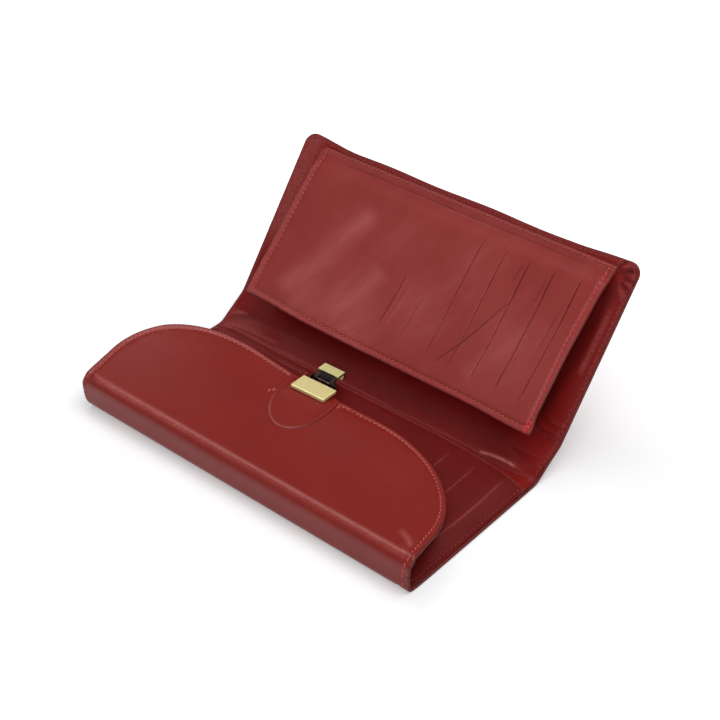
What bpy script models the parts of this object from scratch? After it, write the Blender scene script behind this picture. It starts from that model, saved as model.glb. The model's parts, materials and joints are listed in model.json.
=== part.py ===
"""A long fold-over wallet in soft leather: a base with card slits, a lid with a hinged card leaf,
and a front flap with a sprung clasp, which catches in a keeper on the lid's outer face.

Metres, +Z up. The origin is the centre of the base's underside. X runs along the folds and Y
runs back to the spine. The cover is one piece of leather in the real wallet. Here it is cut at
each fold, because the panels between the folds turn, and the bent leather of each fold is a round
crease on the fold's axis. The wallet is shown open: flap down on the base, lid up behind it.
"""

import math

import bmesh
import bpy
from mathutils import Matrix, Vector

# Leathers and the gaps between them
cover_leather = 0.0012
lining_leather = 0.0007
pocket_leather = 0.0009
tongue_leather = 0.0005
layer_gap = 0.0003

# Cover
wallet_length = 0.190
base_depth = 0.088
front_height = 0.016
spine_width = 0.020
lid_depth = 0.086
lid_corner_radius = 0.006
spine_rest_angle = 33.4
lid_rest_angle = 53.6

# Folds
panel_to_fold = 0.0010
lining_to_fold = 0.0024
lining_margin = 0.0006
crease_end_margin = 0.0010

# Flap, which leans and lifts towards its left end as it lies
flap_depth = 0.071
flap_straight_side = 0.022
flap_corner_width = 0.059
flap_fall = 0.0096
flap_rise = 0.012
flap_rise_start = 0.005
flap_rise_power = 1.6
flap_lean_share = 0.22
flap_columns = 18
flap_corner_steps = 9

# Base pockets
pocket_front_margin = 0.0030
pocket_mouth_margin = 0.0031
pocket_end_margin = 0.0010
base_slit_to_front = 0.0154
base_slit_to_end = 0.0103
base_slit_pitch = 0.0144
base_slit_to_mouth = 0.0095
base_slit_count = 3
left_pocket_width = 0.062
left_pocket_leather = 0.0008
left_pocket_end_margin = 0.0030
left_mouth_step = 0.0044

# Card slits and the tongues of lining behind them
slit_width = 0.0008
tongue_gap = 0.0006
tongue_margin = 0.0045
long_tongue_width = 0.060

# Leaf, which hangs by its top edge
leaf_width = 0.1685
leaf_shift = 0.00265
leaf_to_spine_fold = 0.0011
leaf_pivot_from_edge = 0.0069
leaf_pivot_lift = 0.0018
leaf_stand_off_angle = 9.0
leaf_corner_radius = 0.0025
leaf_crease_radius = 0.00045
leaf_slit_to_edge = 0.0105
leaf_slit_to_end = 0.0114
leaf_slit_pitch = 0.0131
leaf_slit_to_hinge = 0.0110
leaf_slit_count = 5
leaf_strip_margin = 0.0020

# Clasp on the flap
clasp_turn = 6.5
tab_leather = 0.0011
tab_half_width = 0.014
tab_round_depth = 0.027
tab_straight_depth = 0.0105
tab_columns = 8
tab_round_steps = 8
tab_tip_angle = 12.0
plate_width = 0.0184
plate_depth = 0.0108
plate_height = 0.0018
plate_wall = 0.0009
plate_edge_bevel = 0.0004
bracket_width = 0.0126
bracket_metal = 0.0006
bracket_reach = 0.0040
bracket_wall = 0.0007
back_plate_width = 0.0160
back_plate_depth = 0.0080
back_plate_metal = 0.0008
rivet_spacing = 0.0090
rivet_radius = 0.0009
rivet_head_radius = 0.0018
rivet_head_height = 0.0005
pin_from_plate = 0.0032
pin_lift = 0.0010
pin_radius = 0.0005
pin_overhang = 0.0004
turning_gap = 0.0003

# Hook of the clasp, and its spring
hook_width = 0.0112
hook_metal = 0.0008
hook_arm_width = 0.0019
hook_arm_inset = 0.0006
hook_knuckle_wall = 0.0005
hook_plate_from_pin = 0.0028
hook_plate_depth = 0.0059
hook_plate_lift = 0.0026
hook_lip_drop = 0.0034
hook_catch_reach = 0.0012
spring_wire_radius = 0.00015
spring_to_pin = 0.0004
spring_turns = 5
spring_pitch = 0.0008
spring_points_per_turn = 10
spring_leg = 0.0009

# Keeper on the lid's outer face
keeper_width = 0.0180
keeper_depth = 0.0074
keeper_metal = 0.0010
keeper_corner_radius = 0.0012
keeper_from_fold = 0.0062
keeper_slot_play = 0.0006
keeper_slot_depth = 0.0026
keeper_rivet_radius = 0.0007
keeper_rivet_head_radius = 0.0010
keeper_rivet_head_height = 0.0004
keeper_rivet_from_end = 0.0014

# Drawing values
overrun = 0.0010
corner_steps = 6
round_steps = 16
crease_steps = 12

half_length = wallet_length / 2
half_cover = cover_leather / 2
lining_low = half_cover + layer_gap
lining_high = lining_low + lining_leather
fold_height = half_cover
front_fold_y = -base_depth / 2
spine_fold_y = base_depth / 2
leaf_height = lid_depth - leaf_pivot_from_edge - leaf_to_spine_fold


def clear_scene():
    for obj in list(bpy.data.objects):
        bpy.data.objects.remove(obj, do_unlink=True)


def make_material(name, colour, roughness, metallic=0.0):
    material = bpy.data.materials.new(name)
    material.use_nodes = True
    shader = material.node_tree.nodes["Principled BSDF"]
    shader.inputs["Base Color"].default_value = (*colour, 1.0)
    shader.inputs["Roughness"].default_value = roughness
    shader.inputs["Metallic"].default_value = metallic
    material.diffuse_color = (*colour, 1.0)
    return material


def make_materials():
    return {
        "cover": make_material("glazed red cover leather", (0.23, 0.020, 0.016), 0.34),
        "pocket": make_material("glazed red pocket leather", (0.20, 0.026, 0.026), 0.28),
        "lining": make_material("dark red lining leather", (0.10, 0.010, 0.012), 0.45),
        "tongue": make_material("dark card slit lining", (0.06, 0.006, 0.008), 0.70),
        "brass": make_material("brushed brass", (0.66, 0.56, 0.24), 0.30, 1.0),
        "steel": make_material("darkened steel", (0.16, 0.15, 0.15), 0.35, 1.0),
    }


def make_frame(name, parent, matrix):
    """An empty that carries pieces. Its matrix is given in its parent's frame."""
    frame = bpy.data.objects.new(name, None)
    bpy.context.scene.collection.objects.link(frame)
    frame.parent = parent
    frame.matrix_local = matrix
    return frame


def tilted(y, z, angle):
    """A place in the YZ plane, turned by an angle in degrees about X."""
    return Matrix.Translation((0, y, z)) @ Matrix.Rotation(math.radians(angle), 4, "X")


def place_mesh(name, work, parent, material):
    """Turns a bmesh into an object whose points are in its parent's frame."""
    bmesh.ops.recalc_face_normals(work, faces=work.faces)
    mesh = bpy.data.meshes.new(name)
    work.to_mesh(mesh)
    work.free()
    obj = bpy.data.objects.new(name, mesh)
    bpy.context.scene.collection.objects.link(obj)
    obj.parent = parent
    if material is None:
        obj.hide_render = True
        obj.display_type = "WIRE"
    else:
        mesh.materials.append(material)
    return obj


def add_prism(work, outline, low, high):
    """Adds the solid over an outline in XY, from one height to another."""
    bottom = [work.verts.new((x, y, low)) for x, y in outline]
    top = [work.verts.new((x, y, high)) for x, y in outline]
    work.faces.new(bottom[::-1])
    work.faces.new(top)
    for index, start in enumerate(bottom):
        after = (index + 1) % len(bottom)
        work.faces.new((start, bottom[after], top[after], top[index]))


def add_side_prism(work, outline, left, right):
    """Adds the solid of an outline in YZ, from one X to another."""
    near = [work.verts.new((left, y, z)) for y, z in outline]
    far = [work.verts.new((right, y, z)) for y, z in outline]
    work.faces.new(near)
    work.faces.new(far[::-1])
    for index, start in enumerate(near):
        after = (index + 1) % len(near)
        work.faces.new((start, far[index], far[after], near[after]))


def rectangle(left, right, front, back):
    return [(left, front), (right, front), (right, back), (left, back)]


def circle(centre_a, centre_b, radius, steps):
    turns = [2 * math.pi * step / steps for step in range(steps)]
    return [(centre_a + radius * math.cos(turn), centre_b + radius * math.sin(turn)) for turn in turns]


def rounded_rectangle(left, right, front, back, front_radius, back_radius):
    """A rectangle whose front and back corners are arcs. A radius of 0 leaves them square."""
    places = (
        (left, front, 1, 1, front_radius, 180),
        (right, front, -1, 1, front_radius, 270),
        (right, back, -1, -1, back_radius, 0),
        (left, back, 1, -1, back_radius, 90),
    )
    outline = []
    for x, y, inward_x, inward_y, radius, start in places:
        steps = corner_steps if radius else 0
        for step in range(steps + 1):
            turn = math.radians(start + 90 * step / max(steps, 1))
            outline.append((
                x + radius * (inward_x + math.cos(turn)),
                y + radius * (inward_y + math.sin(turn)),
            ))
    return outline


def plate(name, outline, low, high, parent, material=None):
    work = bmesh.new()
    add_prism(work, outline, low, high)
    return place_mesh(name, work, parent, material)


def rod(name, radius, half_width, y, z, parent, material=None, steps=crease_steps):
    work = bmesh.new()
    add_side_prism(work, circle(y, z, radius, steps), -half_width, half_width)
    obj = place_mesh(name, work, parent, material)
    smooth(obj)
    return obj


def smooth(obj):
    obj.data.shade_smooth()
    obj.data.set_sharp_from_angle(angle=math.radians(35))


def change(obj, tool, operation):
    """Cuts a hidden tool from a piece, or joins it on."""
    modifier = obj.modifiers.new(tool.name, "BOOLEAN")
    modifier.operation = operation
    modifier.object = tool
    modifier.solver = "EXACT"


def bevel(obj, width, segments=2):
    modifier = obj.modifiers.new("edge", "BEVEL")
    modifier.width = width
    modifier.segments = segments
    modifier.limit_method = "ANGLE"


def crease(name, parent, y, z, material, radius=half_cover, half_width=half_length - crease_end_margin):
    """The bent leather on a fold's axis."""
    return rod(name, radius, half_width, y, z, parent, material)


def make_frames():
    """The frames of the turning panels, each with its origin on its fold's axis."""
    base = make_frame("base_frame", None, Matrix.Identity(4))
    front_edge = make_frame("front_edge_frame", base, tilted(front_fold_y, fold_height, 0))
    flap = make_frame("flap_frame", front_edge, tilted(0, front_height, 0))
    spine = make_frame("spine_frame", base, tilted(spine_fold_y, fold_height, spine_rest_angle))
    lid = make_frame("lid_frame", spine, tilted(spine_width, 0, lid_rest_angle - spine_rest_angle))
    leaf_y = lid_depth - leaf_pivot_from_edge
    leaf = make_frame("leaf_frame", lid, tilted(leaf_y, lining_high + leaf_pivot_lift, -leaf_stand_off_angle))
    return {"base": base, "front_edge": front_edge, "flap": flap, "spine": spine, "lid": lid, "leaf": leaf}


def slit_places(count, end, pitch):
    """The X of each slit, from the left to the one nearest the right end."""
    return [end - pitch * step for step in reversed(range(count))]


def slit_cutter(name, places, front, back, low, high, parent):
    work = bmesh.new()
    for x in places:
        add_prism(work, rectangle(x - slit_width / 2, x + slit_width / 2, front, back), low, high)
    return place_mesh(name, work, parent, None)


def card_tongues(name, places, pitch, front, back, low, parent, material):
    """One tongue of lining behind each slit, side by side. The first is long, for a whole card."""
    for number, x in enumerate(places, 1):
        right = x + slit_width / 2 + tongue_gap
        width = long_tongue_width if number == 1 else pitch - tongue_gap
        outline = rectangle(right - width, right, front - tongue_margin, back + tongue_margin)
        plate(f"{name}_{number}", outline, low, low + tongue_leather, parent, material)


def make_base(frames, materials):
    base = frames["base"]
    front = front_fold_y + panel_to_fold
    back = spine_fold_y - panel_to_fold
    plate("cover_base", rectangle(-half_length, half_length, front, back), 0, cover_leather, base,
          materials["cover"])

    pocket_front = front_fold_y + pocket_front_margin
    mouth = spine_fold_y - pocket_mouth_margin
    lining_half = half_length - lining_margin
    low = cover_leather + layer_gap
    high = low + lining_leather
    lining_back = spine_fold_y - lining_to_fold
    plate("base_lining", rectangle(-lining_half, lining_half, pocket_front, lining_back), low, high, base,
          materials["lining"])

    slit_back = mouth - base_slit_to_mouth
    slit_front = pocket_front + base_slit_to_front
    places = slit_places(base_slit_count, half_length - base_slit_to_end, base_slit_pitch)
    tongue_low = high + layer_gap
    card_tongues("base_card_tongue", places, base_slit_pitch, slit_front, slit_back, tongue_low, base,
                 materials["tongue"])

    panel_low = tongue_low + tongue_leather + layer_gap
    panel_high = panel_low + pocket_leather
    panel_half = half_length - pocket_end_margin
    panel = plate("base_pocket_panel", rectangle(-panel_half, panel_half, pocket_front, mouth),
                  panel_low, panel_high, base, materials["pocket"])
    change(panel, slit_cutter("base_slit_cutter", places, slit_front, slit_back, panel_low - overrun,
                              panel_high + overrun, base), "DIFFERENCE")

    left_low = panel_high + layer_gap
    left_end = -half_length + left_pocket_end_margin
    left_outline = rectangle(left_end, left_end + left_pocket_width, pocket_front, mouth - left_mouth_step)
    plate("base_left_pocket", left_outline, left_low, left_low + left_pocket_leather, base,
          materials["pocket"])


def make_front_edge(frames, materials):
    """The upright strip at the front. Its frame stands on the lower fold, and Y runs back."""
    front_edge = frames["front_edge"]
    crease("front_lower_crease", frames["base"], front_fold_y, fold_height, materials["cover"])
    low = panel_to_fold
    high = front_height - panel_to_fold
    outline = rectangle(-half_length, half_length, -half_cover, half_cover)
    plate("cover_front_edge", outline, low, high, front_edge, materials["cover"])
    lining_half = half_length - lining_margin
    plate("front_edge_lining", rectangle(-lining_half, lining_half, lining_low, lining_high),
          lining_to_fold, front_height - lining_to_fold, front_edge, materials["lining"])
    crease("front_upper_crease", front_edge, 0, front_height, materials["cover"])


def make_spine(frames, materials):
    spine = frames["spine"]
    crease("spine_lower_crease", frames["base"], spine_fold_y, fold_height, materials["cover"])
    outline = rectangle(-half_length, half_length, panel_to_fold, spine_width - panel_to_fold)
    plate("cover_spine", outline, -half_cover, half_cover, spine, materials["cover"])
    lining_half = half_length - lining_margin
    outline = rectangle(-lining_half, lining_half, lining_to_fold, spine_width - lining_to_fold)
    plate("spine_lining", outline, lining_low, lining_high, spine, materials["lining"])
    crease("spine_upper_crease", spine, spine_width, 0, materials["cover"])


def make_lid(frames, materials):
    lid = frames["lid"]
    outline = rounded_rectangle(-half_length, half_length, panel_to_fold, lid_depth, 0, lid_corner_radius)
    cover = plate("cover_lid", outline, -half_cover, half_cover, lid, materials["cover"])
    lining_half = half_length - lining_margin
    outline = rounded_rectangle(-lining_half, lining_half, lining_to_fold, lid_depth - lining_margin, 0,
                                lid_corner_radius - lining_margin)
    plate("lid_lining", outline, lining_low, lining_high, lid, materials["lining"])

    strip_low = lining_high + layer_gap
    strip_front = lid_depth - leaf_pivot_from_edge + panel_to_fold
    left = leaf_shift - leaf_width / 2
    right = leaf_shift + leaf_width / 2
    outline = rectangle(left, right, strip_front, lid_depth - leaf_strip_margin)
    plate("leaf_hinge_strip", outline, strip_low, strip_low + pocket_leather, lid, materials["pocket"])
    return cover


def make_leaf(frames, materials):
    """The card leaf. Y runs up to its hinge at 0, and +Z is the face with the slits."""
    leaf = frames["leaf"]
    left = leaf_shift - leaf_width / 2
    right = leaf_shift + leaf_width / 2
    leaf_crease = crease("leaf_crease", leaf, 0, 0, materials["pocket"], leaf_crease_radius, leaf_width / 2)
    leaf_crease.location.x = leaf_shift
    outline = rounded_rectangle(left, right, -leaf_height, -panel_to_fold, leaf_corner_radius, 0)
    half_tongue = tongue_leather / 2
    face_low = half_tongue + layer_gap
    face_high = face_low + pocket_leather
    face = plate("leaf_face", outline, face_low, face_high, leaf, materials["pocket"])
    plate("leaf_back", outline, -face_low - lining_leather, -face_low, leaf, materials["lining"])

    slit_back = -leaf_slit_to_hinge
    slit_front = leaf_slit_to_edge - leaf_height
    places = slit_places(leaf_slit_count, right - leaf_slit_to_end, leaf_slit_pitch)
    change(face, slit_cutter("leaf_slit_cutter", places, slit_front, slit_back, face_low - overrun,
                             face_high + overrun, leaf), "DIFFERENCE")
    card_tongues("leaf_card_tongue", places, leaf_slit_pitch, slit_front, slit_back, -half_tongue, leaf,
                 materials["tongue"])


def flap_lift(x, along):
    """How far the flap's middle lies above its fold: it falls to the back and rises to the left."""
    left_share = min(max((flap_rise_start - x) / (flap_rise_start + half_length), 0), 1)
    return along / flap_depth * (flap_rise * left_share ** flap_rise_power - flap_fall)


def flap_point(across, along, height):
    """A point of the flap, from its place on the flat leather and its height over the middle."""
    x = across - flap_lean_share * along
    return Vector((x, along, flap_lift(x, along) + height))


def flap_rows(start):
    """(along, half width) of each row of the flap: straight sides, then corners that are quarter ellipses."""
    corner_depth = flap_depth - flap_straight_side
    straight_half = half_length - flap_corner_width
    rows = [(start, half_length), ((start + flap_straight_side) / 2, half_length)]
    for step in range(flap_corner_steps + 1):
        turn = math.pi / 2 * step / flap_corner_steps
        along = flap_straight_side + corner_depth * math.sin(turn)
        rows.append((along, straight_half + flap_corner_width * math.cos(turn)))
    return rows


def tab_rows():
    """(along, half width) of each row of the round tab, from its tip to the flap's back edge."""
    centre = flap_depth - tab_straight_depth
    tip = math.radians(tab_tip_angle)
    rows = []
    for step in range(tab_round_steps + 1):
        turn = tip + (math.pi / 2 - tip) * step / tab_round_steps
        rows.append((centre - tab_round_depth * math.cos(turn), tab_half_width * math.sin(turn)))
    rows.append((flap_depth - panel_to_fold, tab_half_width))
    return rows


def flap_sheet(name, rows, columns, low, high, parent, material):
    """A sheet of leather that follows the flap, between two heights over the flap's middle."""
    work = bmesh.new()
    layers = []
    for height in (low, high):
        grid = []
        for along, half in rows:
            across = [half * (2 * column / columns - 1) for column in range(columns + 1)]
            grid.append([work.verts.new(flap_point(place, along, height)) for place in across])
        layers.append(grid)
    last_row = len(rows) - 1
    for grid in layers:
        for row in range(last_row):
            for column in range(columns):
                work.faces.new((grid[row][column], grid[row][column + 1], grid[row + 1][column + 1],
                                grid[row + 1][column]))
    rim = [(0, column) for column in range(columns)]
    rim += [(row, columns) for row in range(last_row)]
    rim += [(last_row, column) for column in range(columns, 0, -1)]
    rim += [(row, 0) for row in range(last_row, 0, -1)]
    bottom, top = layers
    for index, (row, column) in enumerate(rim):
        next_row, next_column = rim[(index + 1) % len(rim)]
        work.faces.new((bottom[row][column], bottom[next_row][next_column], top[next_row][next_column],
                        top[row][column]))
    return place_mesh(name, work, parent, material)


def make_flap(frames, materials):
    flap = frames["flap"]
    cover = flap_sheet("cover_flap", flap_rows(panel_to_fold), flap_columns, -half_cover, half_cover, flap,
                       materials["cover"])
    lining = flap_sheet("flap_lining", flap_rows(lining_to_fold), flap_columns, -lining_high, -lining_low,
                        flap, materials["lining"])
    tab_low = half_cover + layer_gap
    tab = flap_sheet("clasp_tab", tab_rows(), tab_columns, tab_low, tab_low + tab_leather, flap,
                     materials["cover"])
    return [cover, lining, tab]


def clasp_matrix():
    """The clasp's place on the flap's outer face: Y runs back and Z stands out of the leather."""
    along = flap_depth - plate_depth / 2
    here = flap_point(0, along, half_cover)
    across = flap_point(overrun, along, half_cover) - here
    back = flap_point(flap_lean_share * overrun, along + overrun, half_cover) - here
    normal = across.cross(back).normalized()
    x_axis = across.normalized()
    y_axis = normal.cross(x_axis)
    turned = Matrix.Rotation(math.radians(clasp_turn), 4, "Z")
    axes = Matrix((x_axis, y_axis, normal)).transposed().to_4x4()
    return Matrix.Translation(here) @ axes @ turned


def clasp_levels():
    """Heights over the flap's outer face that the clasp's pieces share."""
    seat = 2 * layer_gap + tab_leather
    tongue_top = seat + bracket_metal
    return {
        "seat": seat,
        "tongue_top": tongue_top,
        "plate_top": seat + plate_height,
        "pin": seat + pin_lift,
        "back": -(cover_leather + 2 * layer_gap + lining_leather),
    }


def pin_y():
    return plate_depth / 2 + pin_from_plate


def make_clasp_plate(clasp, materials, levels):
    """The folded brass cap: open below and behind, over the bracket's tongue."""
    half = plate_width / 2
    cap = plate("clasp_plate", rectangle(-half, half, -plate_depth / 2, plate_depth / 2), levels["seat"],
                levels["plate_top"], clasp, materials["brass"])
    inside = rectangle(-half + plate_wall, half - plate_wall, plate_wall - plate_depth / 2,
                       plate_depth / 2 + overrun)
    hollow = plate("clasp_plate_hollow", inside, levels["seat"] - overrun, levels["plate_top"] - plate_wall,
                   clasp)
    change(cap, hollow, "DIFFERENCE")
    bevel(cap, plate_edge_bevel)


def make_clasp_bracket(clasp, materials, levels):
    """The dark steel bracket: a tongue under the cap, with two ears behind it for the pin."""
    half = bracket_width / 2
    ear_radius = pin_radius + turning_gap + bracket_wall
    back = pin_y() + ear_radius
    ear_front = plate_depth / 2 + layer_gap
    tongue = rectangle(-half, half, -bracket_reach, back)
    bracket = plate("clasp_bracket", tongue, levels["seat"], levels["tongue_top"], clasp, materials["steel"])
    ear_top = levels["pin"] + ear_radius
    work = bmesh.new()
    for side in (-1, 1):
        inner = side * (half - bracket_metal)
        outline = [(ear_front, levels["seat"]), (back, levels["seat"]), (back, levels["pin"]),
                   (pin_y(), ear_top), (ear_front, ear_top)]
        add_side_prism(work, outline, min(inner, side * half), max(inner, side * half))
    change(bracket, place_mesh("bracket_ears", work, clasp, None), "UNION")
    window_half = half - bracket_metal
    window = rectangle(-window_half, window_half, ear_front + bracket_metal, back + overrun)
    change(bracket, plate("bracket_window", window, levels["seat"] - overrun, levels["tongue_top"] + overrun,
                          clasp), "DIFFERENCE")
    change(bracket, rod("bracket_pin_hole", pin_radius + turning_gap, half + overrun, pin_y(), levels["pin"],
                        clasp, steps=round_steps), "DIFFERENCE")
    return bracket


def make_clasp_rivets(clasp, materials, levels, held):
    """Two rivets from the bracket's tongue, through tab and flap, to the plate behind the lining."""
    half_width = back_plate_width / 2
    half_depth = back_plate_depth / 2
    back_low = levels["back"] - back_plate_metal
    back_plate = plate("clasp_back_plate", rectangle(-half_width, half_width, -half_depth, half_depth),
                       back_low, levels["back"], clasp, materials["brass"])
    top = levels["tongue_top"]
    head_top = back_low - layer_gap
    work = bmesh.new()
    for side in (-1, 1):
        x = side * rivet_spacing / 2
        hole = circle(x, 0, rivet_radius + layer_gap, round_steps)
        add_prism(work, hole, head_top - overrun, top + overrun)
        shank = plate(f"clasp_rivet_{'left' if side < 0 else 'right'}",
                      circle(x, 0, rivet_radius, round_steps), head_top - rivet_head_height, top, clasp,
                      materials["steel"])
        head = plate(f"rivet_head_{'left' if side < 0 else 'right'}",
                     circle(x, 0, rivet_head_radius, round_steps), head_top - rivet_head_height, head_top,
                     clasp)
        change(shank, head, "UNION")
        smooth(shank)
    holes = place_mesh("clasp_rivet_holes", work, clasp, None)
    for piece in held + [back_plate]:
        change(piece, holes, "DIFFERENCE")


def print_least_gap(points):
    """Prints how near the spring's wire comes to itself, from points over half a turn apart."""
    apart = spring_points_per_turn // 2 + 1
    gaps = []
    for index, point in enumerate(points):
        for other in points[index + apart:]:
            gaps.append(math.dist(point, other) - 2 * spring_wire_radius)
    print(f"clasp_spring: least gap to itself {min(gaps):.6f} m")


def make_clasp_spring(clasp, materials, levels):
    """A torsion spring round the middle of the pin."""
    coil_radius = pin_radius + spring_to_pin + spring_wire_radius
    steps = spring_turns * spring_points_per_turn
    left = -spring_turns * spring_pitch / 2
    y, z = pin_y(), levels["pin"]
    points = [(left, y + spring_leg, z - coil_radius)]
    for step in range(steps + 1):
        turn = -math.pi / 2 - 2 * math.pi * step / spring_points_per_turn
        x = left + spring_pitch * step / spring_points_per_turn
        points.append((x, y + coil_radius * math.cos(turn), z + coil_radius * math.sin(turn)))
    points.append((-left, y - spring_leg, z - coil_radius))
    print_least_gap(points[1:-1])
    curve = bpy.data.curves.new("clasp_spring", "CURVE")
    curve.dimensions = "3D"
    curve.bevel_depth = spring_wire_radius
    curve.bevel_resolution = 1
    curve.use_fill_caps = True
    spline = curve.splines.new("POLY")
    spline.points.add(len(points) - 1)
    for place, point in zip(spline.points, points):
        place.co = (*point, 1)
    curve.materials.append(materials["steel"])
    spring = bpy.data.objects.new("clasp_spring", curve)
    bpy.context.scene.collection.objects.link(spring)
    spring.parent = clasp


def make_hook(clasp, materials, levels):
    """The brass hook. Its frame's X is the pin, and it turns up on two arms."""
    hook = make_frame("hook_frame", clasp, Matrix.Translation((0, pin_y(), levels["pin"])))
    front = hook_plate_from_pin
    back = front + hook_plate_depth
    low = hook_plate_lift
    high = low + hook_metal
    lip_front = back - hook_metal
    lip_low = high - hook_lip_drop
    profile = [(front, low), (front, high), (back, high), (back, lip_low),
               (lip_front - hook_catch_reach, lip_low), (lip_front, lip_low + hook_catch_reach),
               (lip_front, low)]
    work = bmesh.new()
    add_side_prism(work, profile, -hook_width / 2, hook_width / 2)
    body = place_mesh("clasp_hook", work, hook, materials["brass"])

    bore = pin_radius + turning_gap
    knuckle = bore + hook_knuckle_wall
    arm_outer = bracket_width / 2 - bracket_metal - hook_arm_inset
    arm_inner = arm_outer - hook_arm_width
    arm = [(0, knuckle), (front, high - hook_metal / 2), (front + hook_metal, high - hook_metal / 2),
           (front + hook_metal, low - hook_metal / 2), (front, low - hook_metal / 2), (knuckle, 0)]
    work = bmesh.new()
    for side in (-1, 1):
        left, right = sorted((side * arm_inner, side * arm_outer))
        add_side_prism(work, arm, left, right)
    change(body, place_mesh("hook_arms", work, hook, None), "UNION")
    work = bmesh.new()
    for side in (-1, 1):
        left, right = sorted((side * arm_inner, side * arm_outer))
        add_side_prism(work, circle(0, 0, knuckle, round_steps), left, right)
    change(body, place_mesh("hook_knuckles", work, hook, None), "UNION")
    change(body, rod("hook_bore", bore, arm_outer + overrun, 0, 0, hook, steps=round_steps), "DIFFERENCE")
    return hook


def make_clasp(frames, materials, flap_pieces):
    levels = clasp_levels()
    clasp = make_frame("clasp_frame", frames["flap"], clasp_matrix())
    make_clasp_plate(clasp, materials, levels)
    bracket = make_clasp_bracket(clasp, materials, levels)
    make_clasp_rivets(clasp, materials, levels, flap_pieces + [bracket])
    pin_half = bracket_width / 2 + pin_overhang
    rod("clasp_pin", pin_radius, pin_half, pin_y(), levels["pin"], clasp, materials["steel"], round_steps)
    make_clasp_spring(clasp, materials, levels)
    make_hook(clasp, materials, levels)
    return clasp


def make_keeper(frames, materials, lid_cover, clasp):
    """The slotted brass keeper on the lid's outer face, in line with the hook."""
    lid = frames["lid"]
    bpy.context.view_layer.update()
    centre_x = (clasp.matrix_world @ Vector((0, pin_y() + hook_plate_from_pin + hook_plate_depth, 0))).x
    half_width = keeper_width / 2
    front = keeper_from_fold - keeper_depth / 2
    back = front + keeper_depth
    high = -half_cover - layer_gap
    low = high - keeper_metal
    outline = rounded_rectangle(centre_x - half_width, centre_x + half_width, front, back,
                                keeper_corner_radius, keeper_corner_radius)
    keeper = plate("keeper_plate", outline, low, high, lid, materials["brass"])
    slot_half = hook_width / 2 + keeper_slot_play
    slot_front = keeper_from_fold - keeper_slot_depth / 2
    slot = plate("keeper_slot", rectangle(centre_x - slot_half, centre_x + slot_half, slot_front,
                                          slot_front + keeper_slot_depth), low - overrun,
                 half_cover + overrun, lid)
    work = bmesh.new()
    for side, name in ((-1, "left"), (1, "right")):
        x = centre_x + side * (half_width - keeper_rivet_from_end)
        hole = circle(x, keeper_from_fold, keeper_rivet_radius + layer_gap, round_steps)
        add_prism(work, hole, low - overrun, half_cover + overrun)
        shank = plate(f"keeper_rivet_{name}", circle(x, keeper_from_fold, keeper_rivet_radius, round_steps),
                      low - layer_gap - keeper_rivet_head_height, half_cover, lid, materials["brass"])
        head = plate(f"keeper_head_{name}",
                     circle(x, keeper_from_fold, keeper_rivet_head_radius, round_steps),
                     low - layer_gap - keeper_rivet_head_height, low - layer_gap, lid)
        change(shank, head, "UNION")
        smooth(shank)
    holes = place_mesh("keeper_rivet_holes", work, lid, None)
    for piece in (keeper, lid_cover):
        change(piece, slot, "DIFFERENCE")
        change(piece, holes, "DIFFERENCE")


def main():
    clear_scene()
    materials = make_materials()
    frames = make_frames()
    make_base(frames, materials)
    make_front_edge(frames, materials)
    flap_pieces = make_flap(frames, materials)
    make_spine(frames, materials)
    lid_cover = make_lid(frames, materials)
    make_leaf(frames, materials)
    clasp = make_clasp(frames, materials, flap_pieces)
    make_keeper(frames, materials, lid_cover, clasp)


main()
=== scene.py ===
# %% [markdown]
# A long leather wallet, shown open
# This lesson dresses a plain solid model of a wallet, panel by panel, as soft glazed leather.
# The solids say where the folds, pockets and slits are. Each panel of leather is drawn flat, as a
# maker cuts it, then bent into its place and given the swelling, folds and stitches of the real one.

# %% Load the solid model
import json
import math

import bpy
import numpy as np
from mathutils import Matrix, Vector
from mathutils.geometry import delaunay_2d_cdt


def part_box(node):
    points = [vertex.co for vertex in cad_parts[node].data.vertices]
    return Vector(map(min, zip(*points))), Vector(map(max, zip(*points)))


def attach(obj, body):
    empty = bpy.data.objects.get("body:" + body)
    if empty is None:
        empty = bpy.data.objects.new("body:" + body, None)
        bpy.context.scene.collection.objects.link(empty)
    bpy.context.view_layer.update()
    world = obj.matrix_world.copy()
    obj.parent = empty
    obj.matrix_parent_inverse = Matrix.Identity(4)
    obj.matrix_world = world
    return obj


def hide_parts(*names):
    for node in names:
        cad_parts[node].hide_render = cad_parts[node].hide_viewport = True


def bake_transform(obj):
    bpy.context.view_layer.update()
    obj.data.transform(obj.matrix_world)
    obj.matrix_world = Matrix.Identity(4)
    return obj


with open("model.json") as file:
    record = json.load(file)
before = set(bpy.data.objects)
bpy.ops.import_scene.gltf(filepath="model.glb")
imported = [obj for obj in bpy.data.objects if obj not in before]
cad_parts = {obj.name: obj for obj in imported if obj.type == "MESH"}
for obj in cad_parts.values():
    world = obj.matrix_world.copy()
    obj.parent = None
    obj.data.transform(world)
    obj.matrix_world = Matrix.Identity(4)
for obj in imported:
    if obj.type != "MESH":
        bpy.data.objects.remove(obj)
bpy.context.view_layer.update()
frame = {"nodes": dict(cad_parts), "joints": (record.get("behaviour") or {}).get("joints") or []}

mm = 0.001

# %% [markdown]
# Where the folds are
# Every panel turns on a fold, and the solid model says where each fold's axis is. The lean of
# the lid and of the card leaf is measured on their own solids, so that neither is set by eye.

# %% Read the folds
fold_axes = {joint["name"]: np.array(joint["pos_m"]) for joint in frame["joints"]}
front_low = fold_axes["front_lower_fold"][1:]
front_high = fold_axes["front_upper_fold"][1:]
spine_low = fold_axes["spine_lower_fold"][1:]
spine_high = fold_axes["spine_upper_fold"][1:]
leaf_pin = fold_axes["leaf_fold"][1:]


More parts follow.
